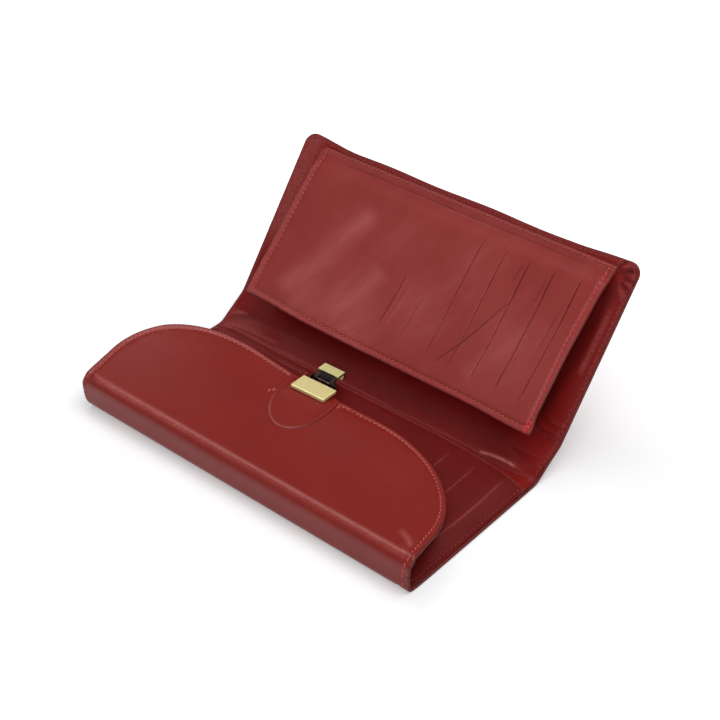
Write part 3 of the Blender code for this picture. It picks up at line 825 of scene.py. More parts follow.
# %% [markdown]
# The cover
# The cover is one piece of leather in the real wallet, from the flap round to the lid. It is
# drawn here in four panels that meet edge to edge somewhere between the folds, so that each panel
# crosses one fold only and can bend there when the wallet opens.

# %% Sizes of the folds and seams
front_low_radii = (4.2 * mm, 1.8 * mm)  # at the left end and at the right end
front_high_radius = 4.3 * mm
spine_low_radius = 8 * mm
spine_high_radius = 10 * mm
strip_seam = strip_height / 2
spine_seam = spine_width / 2
base_seam_from_fold = 6 * mm

flap_depth = 71 * mm
flap_straight = 22 * mm
flap_corner_width = 59 * mm
flap_fall = 9.6 * mm
flap_rise = 12 * mm
flap_lean = 0.22
lid_depth = 86 * mm
lid_corner = 6 * mm
lid_dip = 1.8 * mm
lid_flare = 2.0 * mm

# How far the cover's ends stand in (or out, below 0) at places on the base, up the strip and on
# the flap, counted from the lower fold
strip_places = np.array([-82, -12, -5, -1, 2, 6, 10, 13, 17, 24, 31, 38]) * mm
left_end_in = np.array([0, 0, 0.2, 0.9, 0.3, -1.2, -1.6, -1.5, -1.1, -1.0, -0.9, -0.8]) * mm
right_end_in = np.array([0, 0, 0.1, 0.4, 0.7, 0.85, 0.85, 0.6, 0.1, 0, 0, 0]) * mm


def box_outline(left, right_end, near, far):
    return [(left, near), (right_end, near), (right_end, far), (left, far)]


def arc_corner(centre, radii, first_degrees, steps=14):
    """A quarter of an ellipse, as points."""
    turns = [math.radians(first_degrees + 90 * step / steps) for step in range(steps + 1)]
    return [(centre[0] + radii[0] * math.cos(t), centre[1] + radii[1] * math.sin(t)) for t in turns]


def strip_side(left, start, end, fold_place, inset=0.0):
    """One end of the strip, as points from start to end along the leather."""
    inner = strip_places[(strip_places > start + fold_place) & (strip_places < end + fold_place)]
    places = np.concatenate([[start + fold_place], inner, [end + fold_place]])
    inwards = np.interp(places, strip_places, left_end_in if left else right_end_in)
    side = -1 if left else 1
    return [(side * (wallet_half - inset - way_in), place - fold_place)
            for place, way_in in zip(places, inwards)]


def strip_outline(near, far, inset=0.0):
    """The base's cover and the lower half of the strip."""
    left, right_end = [strip_side(at_left, near, far, 0.0, inset) for at_left in (True, False)]
    return [*right_end, *left[::-1]]


def flap_edge(inset=0.0):
    """The strip's upper half and the flap. Its left end swells out a little."""
    near = strip_seam - strip_height
    corner_place, corner_depth = wallet_half - inset - flap_corner_width, flap_depth - inset - flap_straight
    bulge = -left_end_in[-1]
    outline = strip_side(False, near, flap_straight, strip_height, inset)[:-1]
    outline += arc_corner((corner_place, flap_straight), (flap_corner_width, corner_depth), 0, 40)
    outline += arc_corner((-corner_place, flap_straight), (flap_corner_width + bulge, corner_depth), 90, 40)
    return outline + strip_side(True, near, flap_straight, strip_height, inset)[-2::-1]


def lid_edge(inset=0.0):
    """The lid. Its far edge sags between the corners, and its right end flares."""
    half, far, corner = wallet_half - inset, lid_depth - inset, lid_corner - inset
    outline = [(-half, -spine_seam), (half, -spine_seam)]
    outline += arc_corner((half - corner, far - corner), (corner, corner), 0)
    for x in np.linspace(half - corner, corner - half, 46)[1:-1]:
        dip = lid_dip * smooth_step(half - 4 * mm - abs(x), 0, 30 * mm)
        outline.append((x, far - dip + 0.25 * mm * math.sin(x / (9 * mm))))
    outline += arc_corner((corner - half, far - corner), (corner, corner), 90)
    return [(x + lid_flare * max(y, 0) / lid_depth * (x > 0), y) for x, y in outline]


def front_bend(flat):
    share = (flat[:, 0] + wallet_half) / (2 * wallet_half)
    radius = front_low_radii[0] + (front_low_radii[1] - front_low_radii[0]) * np.clip(share, 0, 1)
    return in_space(flat[:, 0], bent(flat[:, 1], front_low, math.pi, math.pi / 2, radius))


def flap_bend(flat):
    """The strip's upper half and the flap, which leans and lifts towards its left end."""
    across, along = flat.T
    x = across - flap_lean * np.maximum(along, 0)
    left_share = np.clip((5 * mm - x) / (5 * mm + wallet_half), 0, 1)
    slope = (flap_rise * left_share ** 1.6 - flap_fall) / flap_depth
    path = np.where(along > 0, along * np.hypot(1, slope), along)
    return in_space(x, bent(path, front_high, math.pi / 2, np.arctan(slope), front_high_radius))


def spine_bend(flat):
    return in_space(flat[:, 0], bent(flat[:, 1], spine_low, 0.0, spine_lean, spine_low_radius))


def lid_bend(flat):
    return in_space(flat[:, 0], bent(flat[:, 1], spine_high, spine_lean, lid_lean, spine_high_radius))


def sewn_down(amount, width=4 * mm):
    """How far a layer is drawn towards the next one near its sewn edge."""
    return lambda spots: amount * (1 - smooth_step(spots.rim, 0.5 * mm, width))


# %% Cut the cover
strip_waves = waves(3, 0.10 * mm, 35 * mm, 90 * mm)
flap_waves = waves(5, 0.30 * mm, 30 * mm, 110 * mm)


def base_level(spots):
    """The base lies flat. Only the strip that stands up at the front is wavy, and its two halves
    read the same waves, so that they meet."""
    from_upper_fold = np.stack([spots.across, spots.along - strip_height], axis=1)
    same_waves = strip_waves(Spots(from_upper_fold, spots.rim, spots.run, spots.slit))
    return same_waves * smooth_step(spots.along, 3 * mm, 7 * mm)


def flap_level(spots):
    strip = 1 - smooth_step(spots.along, -7 * mm, -1 * mm)
    return strip_waves(spots) * strip + flap_waves(spots) * (1 - strip) * smooth_step(spots.rim, 0, 14 * mm)


def off_the_tab(relief):
    """The flap isn't sewn under the tab, so the groove stops on both sides of it. It also fades
    out down the strip, where the flap's leather meets the base's."""
    def masked(spots):
        tab = 1 - smooth_step(np.abs(spots.across), 13.5 * mm, 16 * mm)
        tab = tab * smooth_step(spots.along, 40 * mm, 60 * mm)
        return relief(spots) * (1 - tab) * smooth_step(spots.along, -8 * mm, -4 * mm)
    return masked


base_near = base_seam_from_fold - 2 * base_half_depth
base_cover = Panel(
    "base_cover", strip_outline(base_near, strip_seam), front_bend, cover_leather, base_level,
    seams_at=(strip_seam, base_near), grid=1.6 * mm,
)
flap_folds = (  # the flap's right end is a little crumpled where it turns into the strip
    (points_of((82, 7.5), (88, 9.0), (93, 8.2)), 1.3 * mm, 0.32 * mm, 0.4),
    (points_of((84, 2.0), (89, 3.4), (93.5, 3.0)), 1.1 * mm, 0.30 * mm, 0.4),
    (points_of((79, 14.0), (86, 12.6), (92, 13.4)), 1.5 * mm, 0.18 * mm, 0.3),
)
flap_cover = Panel(
    "flap_cover", flap_edge(), flap_bend, cover_leather, flap_level,
    seams_at=(strip_seam - strip_height,), grid=1.4 * mm,
    relief=together(off_the_tab(sewn(pucker=0.17 * mm, bead=0.26 * mm)), creases(flap_folds)),
)
spine_cover = Panel(
    "spine_cover", box_outline(-wallet_half, wallet_half, -base_seam_from_fold, spine_seam),
    spine_bend, cover_leather, 0.0, seams_at=(-base_seam_from_fold, spine_seam), under=sewn(), rim_ink=0.6,
)

keeper_low, keeper_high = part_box("keeper_plate")
keeper_x = (keeper_low.x + keeper_high.x) / 2
slot_half = 6.2 * mm
keeper_slot = box_outline(keeper_x - slot_half, keeper_x + slot_half, 4.9 * mm, 7.5 * mm)
lid_cover = Panel(
    "lid_cover", lid_edge(), lid_bend, cover_leather, 0.0, seams_at=(-spine_seam,), slits=(keeper_slot,),
    under=sewn(), rim_ink=0.6,
)


def more_at_the_left(spots):
    """The rim is paler at the left, in patches between the stitches, and hardly at the right: rubbed, and
    brightened with a painted highlight.
    """
    patches = 0.55 + 0.45 * np.cos(2 * math.pi * spots.run / stitch_pitch)
    return (0.06 + 0.86 * smooth_step(-spots.across, 12 * mm, 70 * mm)) * patches


def fold_highlight(spots):
    """A painted highlight along the top of the round fold, strongest at its two ends."""
    strength = (0.55 + 0.36 * smooth_step(-spots.across, -10 * mm, 60 * mm)
                + 0.16 * smooth_step(spots.across, 60 * mm, 86 * mm))
    uneven = 0.82 + 0.18 * np.sin(spots.across / (7.3 * mm)) * np.sin(spots.across / (3.1 * mm) + 1)
    fades = 1 - smooth_step(np.abs(spots.across), wallet_half - 9 * mm, wallet_half - 3 * mm)
    return strength * uneven * fades * np.exp(-((spots.along - 2.2 * mm) / (1.35 * mm)) ** 2)


flap_rim = pale_rim_band(1.9 * mm, 0.80 * mm, more_at_the_left)
# a rubbed rim with a painted highlight at the left, a painted highlight along the round fold, and painted
# highlights on the crumples at the right end
flap_cover.build(flap_red, wear_and_highlight=strongest(
    lambda spots: flap_rim(spots) * smooth_step(spots.along, -6 * mm, 2 * mm), fold_highlight,
    drawn(points_of((81, 13.5), (86.5, 11.2), (90.5, 7.0)), 1.4 * mm, 0.62), soft_patch(88.5, 2.6, 1.8, 0.75)))
for panel in (base_cover, spine_cover, lid_cover):
    panel.build(flap_red)

# %% [markdown]
# The lining
# Thinner, darker leather lines the cover, and it shows on the spine, round the card leaf and
# under the flap. It follows the cover at a fixed distance and is drawn onto it at the sewn edge.

# %% Cut the lining
lining_inset = 0.6 * mm
lining_half = wallet_half - lining_inset
lining_rounding = 0.35 * mm
overlap = 14 * mm


def drawn_to_cover(level, towards=-1):
    """The lining's level, drawn onto the cover at its sewn edge."""
    down = sewn_down(0.28 * mm)
    return lambda spots: read_at(level, spots) + towards * down(spots)


spine_waves = waves(11, 0.35 * mm, 22 * mm, 70 * mm)
spine_folds = (  # a long soft fold at the left, a short plump one at the right, and small ones
    (points_of((-94, 4.6), (-88, 8.6), (-79, 12.2), (-66, 14.4), (-50, 17.0)), 1.9 * mm, 1.15 * mm, 1.0),
    (points_of((-96, -2.4), (-86, 1.6), (-72, 2.9), (-56, 3.4)), 1.3 * mm, 0.50 * mm, 0.5),
    (points_of((61, 0.2), (68, 1.6), (77, 2.2), (88, 1.2)), 1.5 * mm, 1.00 * mm, 0.3),
    (points_of((76, 8.6), (84, 6.4), (92, 6.8)), 1.6 * mm, 0.40 * mm, 0.3),
)
lid_folds = (
    (points_of((78, 6.2), (87, 3.4), (92.5, 4.6)), 1.0 * mm, 0.6 * mm, 0.4),
    (points_of((84, 9.5), (90, 7.0), (93, 8.5)), 0.9 * mm, 0.45 * mm, 0.2),
    (points_of((88.6, 40), (89.6, 52), (89.4, 64)), 1.3 * mm, 0.35 * mm, 0.2),
)


pleat_height = 0.50 * mm
pleat_centre = points_of((86.5, 76.5))


def corner_pleats(spots):
    """The lining gathers into small pleats where it is turned round the lid's right corner."""
    out = spots.flat - pleat_centre
    reach = np.hypot(*out.T)
    turn = np.arctan2(out[:, 1], out[:, 0])
    near = np.exp(-((reach - 7.0 * mm) / (3.6 * mm)) ** 2) * plateau(turn, -1.1, -0.7, 1.4, 2.0)
    return pleat_height * near * np.sin(turn * 11.0 + 0.7 * np.sin(turn * 4) + reach / (2.6 * mm))


front_lining = Panel(
    "front_lining", strip_outline(-overlap, strip_seam, lining_inset), front_bend, lining_leather,
    drawn_to_cover(-lining_level, 1), seams_at=(strip_seam, -overlap), rounding=lining_rounding,
)
flap_lining = Panel(
    "flap_lining_leather", flap_edge(lining_inset), flap_bend, lining_leather,
    drawn_to_cover(lambda spots: flap_level(spots) - lining_level, 1),
    seams_at=(strip_seam - strip_height,), under=sewn(0.18 * mm, 0.05 * mm), rounding=lining_rounding,
)
base_lining_half = wallet_half - 3.5 * mm
base_lining_far = base_half_depth - overlap
base_lining = Panel(
    "base_lining_leather",
    box_outline(-base_lining_half, base_lining_half, -base_lining_far, base_lining_far),
    flat_bend, lining_leather, half_cover + lining_level, seams_at=(-base_lining_far, base_lining_far),
    rounding=lining_rounding, grid=3 * mm, edge_steps=few_steps,
)
spine_lining = Panel(
    "spine_lining_leather", box_outline(-lining_half, lining_half, -overlap, spine_seam), spine_bend,
    lining_leather, drawn_to_cover(lining_level), seams_at=(-overlap, spine_seam), rounding=lining_rounding,
    relief=together(spine_waves, creases(spine_folds), sewn(0.14 * mm, 0.06 * mm, 1.5 * mm, 0.04 * mm)),
    lines=refined(spine_folds, width=1.3 * mm),
)
lid_lining = Panel(
    "lid_lining_leather", lid_edge(lining_inset), lid_bend, lining_leather, drawn_to_cover(lining_level),
    seams_at=(-spine_seam,), rounding=lining_rounding, rim_ink=0.4,
    relief=together(sewn(0.16 * mm, 0.08 * mm, 1.5 * mm, 0.10 * mm), creases(lid_folds), corner_pleats),
    lines=refined(lid_folds), grid=1.3 * mm,
)
for panel in (front_lining, flap_lining, base_lining):
    panel.build(lining_red)
long_fold, low_fold = spine_folds[0][0], spine_folds[1][0]
spine_lining.build(
    lining_red,
    # painted highlights along the long fold, the low fold and the plump fold at the right, and painted light
    # on the spine's left end
    wear_and_highlight=strongest(drawn(long_fold, 0.85 * mm, 0.46), drawn(low_fold, 0.65 * mm, 0.30),
                   soft_patch(-84, 5, 14, 0.22), soft_patch(-52, 7, 20, 0.08),
                   drawn(points_of((63, 0.2), (69, 1.9), (76, 2.8), (84, 2.2)), 0.80 * mm, 1.0)),
    # painted shadow along the long fold's lower side and below the plump fold
    ink=strongest(drawn(long_fold - points_of((0, 2.3)), 1.1 * mm, 0.50),
                  drawn(points_of((60, -1.8), (72, -0.6), (86, -0.9)), 0.7 * mm, 0.6)))


def pleat_share(spots, side):
    """How far each point is up a pleat's crest (side 1) or down between two of them (side -1)."""
    return np.clip(side * corner_pleats(spots) / pleat_height, 0, 1)


def lid_margin_highlight(spots):
    """A painted highlight on the lid's left margin and on the pleats' crests at the right corner."""
    left = 0.26 * smooth_step(-spots.across, 80 * mm, 88 * mm) * smooth_step(spots.along, 20 * mm, 40 * mm)
    return left + 0.22 * pleat_share(spots, 1)


lid_lining.build(
    lining_red,
    # a rubbed rim, painted highlights on the left margin and the pleats' crests, and a painted highlight along
    # the fold beside the leaf
    wear_and_highlight=strongest(pale_rim_band(0.9 * mm, 0.6 * mm, 0.16), lid_margin_highlight,
                   drawn(points_of((90.0, 30), (91.0, 48), (91.4, 66)), 0.9 * mm, 0.34)),
    # painted shadow: a dark band on the lining beside the leaf's right edge, where the leaf shades it, and
    # painted shade between the pleats
    ink=strongest(lambda spots: 0.9 * pleat_share(spots, -1),
                  drawn(points_of((88.0, 80), (85.5, 46), (80.0, 2)), 3.4 * mm, 0.80)))

# %% [markdown]
# The base pockets
# A panel of leather is sewn over the base at its ends and front, and is open along the spine for
# banknotes. Three card slits are cut in its right end. A shorter pocket lies on its left end.

# %% Find the card slits
tongue_margin = 1.0 * mm  # how far the lining behind a slit reaches past it, across the wallet
tongue_overlap = 4.5 * mm  # and past its ends


def slit_rows(name, count):
    """Each slit's place across, from the solid tongue of lining behind it."""
    return [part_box(f"{name}_{number}")[1].x - tongue_margin for number in range(1, count + 1)]


def slit_hole(x, near, far, gape, wander):
    """A cut with pointed ends, which wanders a little as hand-cut lines do."""
    places = np.linspace(near, far, 22)
    middle = x + wander * (np.sin(places / (9 * mm) + x * 900) - 0.4 * np.sin(places / (3.7 * mm)))
    left_side, right_side = [[(a + half_gape, b) for a, b in zip(middle[1:-1], places[1:-1])]
                             for half_gape in (-gape, gape)]
    return [(middle[0], near), *right_side, (middle[-1], far), *left_side[::-1]]


def slit_lips(places, near, far, lift):
    """Along each cut, the leather to the right stands up a little and the left lies low."""
    def relief(spots):
        total = np.zeros(len(spots.across))
        span = plateau(spots.along, near - 3 * mm, near + 4 * mm, far - 4 * mm, far + 3 * mm)
        for x in places:
            off = (spots.across - x) / mm
            raised, low = np.exp(-np.abs(off) / 1.6), -0.5 * np.exp(-np.abs(off) / 1.2)
            total += lift * np.where(off > 0, raised, low) * span
        return total
    return relief


slit_fade = 3 * mm
slit_reach = 2.5 * mm


def showing(*spans):
    """How plainly each cut shows: its place across, from where to where, and how much."""
    def share(spots):
        total = np.zeros(len(spots.across))
        for x, start, end, amount in spans:
            span = plateau(spots.along, start - slit_fade, start + slit_fade, end - slit_fade, end + slit_fade)
            total = np.maximum(total, amount * span * (np.abs(spots.across - x) < slit_reach))
        return total
    return share


def slit_lip_wear_and_highlight(shown):
    """The lips of each cut are paler: rubbed, and with a painted highlight where they catch the light."""
    return lambda spots: shown(spots) * np.exp(-(spots.slit / (0.42 * mm)) ** 2)


# %% Cut the base pockets
pocket_low, pocket_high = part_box("base_pocket_panel")
base_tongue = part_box("base_card_tongue_1")
base_slit_near, base_slit_far = base_tongue[0].y + tongue_overlap, base_tongue[1].y - tongue_overlap
base_slits = slit_rows("base_card_tongue", 3)
pocket_waves = waves(21, 0.22 * mm, 24 * mm, 80 * mm)
pocket_level = (pocket_low.z + pocket_high.z) / 2


def pocket_height(spots):
    """The ends and the front are sewn down. The mouth rises a little at its left."""
    ends = smooth_step(np.abs(spots.across), wallet_half - 15 * mm, wallet_half - 1.5 * mm)
    near = 1 - smooth_step(spots.along, pocket_low.y, pocket_low.y + 4 * mm)
    mouth = smooth_step(spots.along, 30 * mm, 41 * mm) * smooth_step(-spots.across, 30 * mm, 75 * mm)
    return pocket_level - 1.85 * mm * np.maximum(ends, near) + 0.9 * mm * mouth * (1 - ends)


def mouth_edge(x):
    """Where the pocket's open edge runs: straight, then falling away towards the right end."""
    return pocket_high.y - 4.2 * mm * float(np.clip((x - 40 * mm) / (54 * mm), 0, 1)) ** 2


mouth = [(x, mouth_edge(x)) for x in np.linspace(pocket_high.x, pocket_low.x, 24)]
end_ridge = crease(points_of((91.4, -38), (91.4, 34)), 1.3 * mm, 0.06 * mm)


def end_puckers(spots):
    """Small puckers, unevenly spaced, along the seam at the pocket's right end."""
    uneven = 2 * np.sin(spots.along / (5 * mm))
    return end_ridge(spots) * np.sin(spots.along / (0.55 * mm) + uneven)


base_pocket = Panel(
    "base_pocket", [(pocket_low.x, pocket_low.y), (pocket_high.x, pocket_low.y), *mouth], flat_bend,
    pocket_leather, pocket_height, rounding=0.45 * mm, rim_ink=0.25, slit_ink=0.0,
    slits=[slit_hole(x, base_slit_near, base_slit_far, 0.03 * mm, 0.15 * mm) for x in base_slits],
    relief=together(pocket_waves, slit_lips(base_slits, base_slit_near, base_slit_far, 0.14 * mm),
                    sewn(0.10 * mm, 0.05 * mm, 1.6 * mm, bead=0.04 * mm), end_puckers),
)


def mouth_wear_and_highlight(spots):
    """The pocket's open edge is paler, less towards the right end: rubbed, and with a painted highlight where
    its round edge catches the light.
    """
    fade = 1 - 0.45 * smooth_step(spots.across, 50 * mm, 85 * mm)
    return 0.95 * fade * smooth_step(spots.along, 32 * mm, 35 * mm) * np.exp(-(spots.rim / (0.75 * mm)) ** 2)


left_low, left_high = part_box("base_left_pocket")
left_folds = (  # the soft pocket under the flap lies in long folds beside its mouth
    (points_of((-80, 35.6), (-66, 34.9), (-52, 34.4), (-36, 33.8)), 0.8 * mm, 0.42 * mm, 0.8),
    (points_of((-74, 33.2), (-60, 32.3), (-46, 31.9), (-34, 31.6)), 0.7 * mm, 0.38 * mm, 0.8),
    (points_of((-68, 30.6), (-54, 29.6), (-40, 29.3)), 0.7 * mm, 0.32 * mm, 0.8),
    (points_of((-60, 27.8), (-46, 27.0), (-34, 26.4)), 0.7 * mm, 0.25 * mm, 0.8),
)


def left_pocket_height(spots):
    """Its left end and its front are sewn down."""
    ends = 1 - smooth_step(spots.across, left_low.x, left_low.x + 5 * mm)
    near = 1 - smooth_step(spots.along, left_low.y, left_low.y + 4 * mm)
    return (left_low.z + left_high.z) / 2 - 1.2 * mm * np.maximum(ends, near)


left_pocket = Panel(
    "left_pocket", box_outline(left_low.x, left_high.x, left_low.y, left_high.y), flat_bend,
    left_pocket_leather, left_pocket_height, rounding=0.4 * mm, rim_ink=0.4,
    relief=together(waves(23, 0.22 * mm, 14 * mm, 50 * mm), creases(left_folds),
                    sewn(0.2 * mm, 0.06 * mm, bead=0.08 * mm)),
    lines=refined(left_folds),
)
base_shows = showing(*((x, base_slit_near, base_slit_far, 0.85 if x > 80 * mm else 0.6)
                       for x in base_slits))
base_pocket.build(base_red, wear_and_highlight=strongest(mouth_wear_and_highlight, slit_lip_wear_and_highlight(base_shows)))
left_pocket.build(base_red, wear_and_highlight=mouth_wear_and_highlight)

# %% [markdown]
# The card leaf
# The leaf hangs by its top edge. Its front leather runs over the hinge onto a strip sewn to the
# lid, and a thinner leather closes it behind. Both are drawn together at their sewn edges, and
# between them the leaf is plump with its card pockets.

# %% Cut the leaf
leaf_low, leaf_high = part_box("leaf_face")
leaf_left, leaf_right = leaf_low.x, leaf_high.x
leaf_length = 78 * mm
leaf_top = 0.9 * mm
leaf_back_top = -1.2 * mm
leaf_go, lid_go = [np.array([math.cos(lean), math.sin(lean)]) for lean in (leaf_lean, lid_lean)]
leaf_out, lid_out = [np.array([-math.sin(lean), math.cos(lean)]) for lean in (leaf_lean, lid_lean)]
leaf_front_level = 1.0 * mm
leaf_top_level = -0.05 * mm


def leaf_bend(flat):
    """The leaf's front, which hangs from the fold and turns over it onto the lid."""
    across, along = flat.T
    hang = leaf_pin + along[:, None] * leaf_go + leaf_front_level * leaf_out
    strip = leaf_pin + along[:, None] * lid_go + leaf_top_level * lid_out
    share = smooth_step(along, -11.0 * mm, 1.5 * mm)[:, None]
    return in_space(across, hang * (1 - share) + strip * share)


def leaf_plane(flat):
    """The leaf's middle, which is plane."""
    return in_space(flat[:, 0], leaf_pin + flat[:, 1:] * leaf_go)


def leaf_height(spots):
    hanging = 1 - smooth_step(spots.along, -8 * mm, -2 * mm)
    return -0.55 * hanging * sewn_down(1 * mm, 4.5 * mm)(spots)


leaf_slits = sorted(slit_rows("leaf_card_tongue", 5))
leaf_slit_near, leaf_slit_far = -67.5 * mm, -11 * mm
leaf_waves = waves(31, 0.30 * mm, 22 * mm, 90 * mm)


def leaf_drop(x):
    """The leaf's far edge isn't quite level: it hangs lower away from the left corner."""
    left_drop = 1.7 * mm * smooth_step(x, leaf_left + 2 * mm, -35 * mm)
    return left_drop + 0.8 * mm * smooth_step(x, 50 * mm, leaf_right)


def leaf_waist(y):
    """The seam draws the leaf's right edge in, between the fold and the corner."""
    places = (-77, -71, -58, -42, -30, -12, -4)
    ways_in = (0.2, 1.3, 1.5, 1.8, 1.4, 1.0, 0.2)
    return float(np.interp(y / mm, places, ways_in)) * mm


leaf_corner_radius = 1.3 * mm
corner_cut = 0.4 * mm
leaf_far_left = -leaf_length
leaf_far_right = -leaf_length - leaf_drop(leaf_right)
leaf_outline = [
    (leaf_left, leaf_corner_radius + leaf_far_left), (leaf_left + corner_cut, corner_cut + leaf_far_left),
    *((x, -leaf_length - leaf_drop(x))
      for x in np.linspace(leaf_left + leaf_corner_radius, leaf_right - leaf_corner_radius, 30)),
    (leaf_right - corner_cut, corner_cut + leaf_far_right), (leaf_right, leaf_corner_radius + leaf_far_right),
    *((leaf_right - leaf_waist(y), y) for y in np.linspace(-77 * mm, -4 * mm, 25)),
]
leaf_seam = np.array([
    (leaf_right - 3.0 * mm, leaf_top - 1.0 * mm), (leaf_right - 4.6 * mm, -38 * mm),
    *((x, 2.6 * mm - leaf_length - leaf_drop(x))
      for x in np.linspace(leaf_right - 3.0 * mm, leaf_left + 3.6 * mm, 16)),
    (leaf_left + 3.8 * mm, leaf_top - 1.0 * mm),
])
top_crease = points_of((-78, -2.6), (-50, -1.9), (-15, -2.2), (34, -2.4), (51, -1.8), (84, -2.4))
handling_crease = points_of((50.8, -28.0), (44.5, -40.9), (37.3, -56.6), (27.5, -72))
pressed_left = points_of((-4.4, -37), (-4.8, -52), (-5.8, -67))
pressed_right = points_of((8.9, -44), (8.2, -56), (7.1, -67.5))
twins = (  # short marks beside the slits on the right
    points_of((46.4, -13), (46.0, -23)), points_of((60.1, -15), (59.8, -28)),
    points_of((72.8, -25), (72.1, -46)),
)
leaf_folds = (
    # the fold line where the leaf turns towards the lid
    (top_crease, 0.45 * mm, -0.16 * mm, 0.5),
    # what lies behind has pressed long double marks into the soft leather
    (pressed_left, 0.42 * mm, -0.20 * mm, 0.3),
    (points_of((-3.4, -38), (-3.8, -52), (-4.6, -65)), 0.55 * mm, 0.12 * mm, 0.2),
    (points_of((0.7, -41), (-1.0, -52), (-3.2, -66)), 0.60 * mm, 0.14 * mm, 0.2),
    (pressed_right, 0.42 * mm, -0.16 * mm, 0.3),
    *((twin, 0.38 * mm, -0.14 * mm, 0.3) for twin in twins),
    # a crease from handling runs slantwise across the slits
    (handling_crease, 0.45 * mm, -0.24 * mm, 0.6),
    (handling_crease + points_of((1.5, 0.6)), 0.8 * mm, 0.12 * mm, 0.3),
)


def leaf_showing(*spans):
    """How plainly the leaf's cuts show: which cut, from where to where in millimetres, how much."""
    return showing(*((leaf_slits[cut], start * mm, end * mm, amount) for cut, start, end, amount in spans))


# how dark each cut's line is painted, as shade inside the cut
leaf_dark = leaf_showing(
    (0, -36, -16, 0.36), (0, -58, -36, 0.08), (1, -58, -42, 0.36), (1, -30, -14, 0.14),
    (2, -28, -12, 0.95), (2, -62, -28, 0.26), (3, -67, -13, 0.75), (4, -64, -20, 0.60))
leaf_pale = leaf_showing(
    (0, -60, -22, 0.26), (1, -56, -28, 0.55), (2, -64, -30, 0.34), (3, -60, -26, 0.34), (4, -58, -30, 0.45))
leaf_front = Panel(
    "leaf_front", [(leaf_right, leaf_top), (leaf_left, leaf_top), *leaf_outline], leaf_bend,
    pocket_leather, leaf_height, rounding=0.5 * mm, rim_ink=0.45, slit_ink=leaf_dark, grid=1.3 * mm,
    slits=[slit_hole(x, leaf_slit_near, leaf_slit_far, 0.006 * mm, 0.22 * mm) for x in leaf_slits],
    slit_round=lambda spots: 40 - 36 * np.clip(leaf_dark(spots) / 0.5, 0, 1),
    relief=together(leaf_waves, slit_lips(leaf_slits, leaf_slit_near, leaf_slit_far, 0.09 * mm),
                    creases(leaf_folds), sewn(0.26 * mm, 0.13 * mm, path=leaf_seam)),
    lines=refined(leaf_folds, leaf_seam, width=0.6 * mm),
)
leaf_back = Panel(
    "leaf_back_leather", [(leaf_right, leaf_back_top), (leaf_left, leaf_back_top), *leaf_outline],
    leaf_plane, lining_leather, lambda spots: -0.9 * mm + sewn_down(0.55 * mm, 4.5 * mm)(spots),
    rounding=lining_rounding, grid=2 * mm, under=sewn(0.2 * mm, 0.06 * mm),
)
leaf_rim = pale_rim_band(1.8 * mm, 1.2 * mm,
                    lambda spots: 0.30 + 0.45 * smooth_step(-spots.across, 20 * mm, 75 * mm))

# A painted sheen: pale streaks and clouds that stand in for the soft reflection of light on the leaf
leaf_painted_sheen = strongest(
    drawn(points_of((-34, -14), (-40, -26), (-46, -39), (-54, -55), (-66, -74)), 6.2 * mm, 0.95),
    drawn(points_of((-16, -38), (-21, -50), (-28, -66), (-32, -76)), 6.5 * mm, 1.0),
    soft_patch(-46, -68, 13, 0.80), soft_patch(-24, -66, 20, 0.82), soft_patch(10, -52, 16, 0.60),
    soft_patch(60, -50, 17, 0.62), soft_patch(22, -22, 13, 0.38), soft_patch(-16, -30, 16, 0.28),
    drawn(points_of((24, -22), (14, -44), (4, -64)), 4.5 * mm, 0.35),
    drawn(points_of((57, -34), (51, -52), (45, -72)), 4.5 * mm, 0.60),
    drawn(points_of((72, -30), (69, -48), (64, -70)), 3.2 * mm, 0.50),
    drawn(points_of((40, -10), (33, -26), (27, -44)), 3.0 * mm, 0.30))
leaf_front.build(
    leaf_red,
    # a rubbed rim, and painted highlights on the cuts' lips and beside the pressed marks
    wear_and_highlight=strongest(
        lambda spots: leaf_rim(spots) * (1 - smooth_step(spots.along, -9 * mm, -3 * mm)),
        slit_lip_wear_and_highlight(leaf_pale), drawn(pressed_left + points_of((1.3, 0)), 0.5 * mm, 0.35),
        drawn(points_of((1.2, -41), (-0.5, -52), (-2.6, -66)), 0.5 * mm, 0.35)),
    # painted shade in the creases and the pressed marks
    ink=strongest(
        drawn(handling_crease, 0.34 * mm, 0.85), drawn(pressed_left, 0.32 * mm, 0.75),
        drawn(pressed_right, 0.26 * mm, 0.50), drawn(top_crease, 0.30 * mm, 0.60),
        *(drawn(twin, 0.26 * mm, 0.70) for twin in twins)),
    painted_sheen=leaf_painted_sheen,
)
leaf_back.build(lining_red)

# %% [markdown]
# The strip that holds the leaf
# The leaf's leather is glued and sewn to a narrow strip on the lid's lining, just inside the
# lid's own seam. It shows as a thin border with two rows of marks: its cut edge and its stitches.

# %% Cut the strip
band_near = float(np.hypot(*(leaf_pin - spine_high))) - 2.4 * mm
band_far = lid_depth - lid_dip - 2.7 * mm
band_seam = 1.2 * mm


def band_middle(spots):
    """1 inside the band, and 0 at its skived edge."""
    return smooth_step(spots.rim, 0, 1.6 * mm)


leaf_hinge_band = Panel(
    "leaf_hinge_band", box_outline(leaf_left + 0.4 * mm, leaf_right - 0.4 * mm, band_near, band_far),
    lid_bend, lambda spots: (0.45 + 0.40 * band_middle(spots)) * mm,
    lambda spots: lining_level + lining_leather / 2 + (0.24 + 0.20 * band_middle(spots)) * mm,
    rounding=0.3 * mm, rim_ink=0.6, grid=1.2 * mm, edge_steps=(0.08, 0.25, 0.5, 0.8, 1.2, 1.6),
    relief=sewn(0.12 * mm, 0.10 * mm, band_seam, 0.0),
)
leaf_hinge_band.build(leaf_red, wear_and_highlight=pale_rim_band(0.4 * mm, 0.4 * mm, 0.5))

# %% [markdown]
# The linings behind the slits
# Through each slit the dark, skived lining of the pocket behind shows as a thin line.


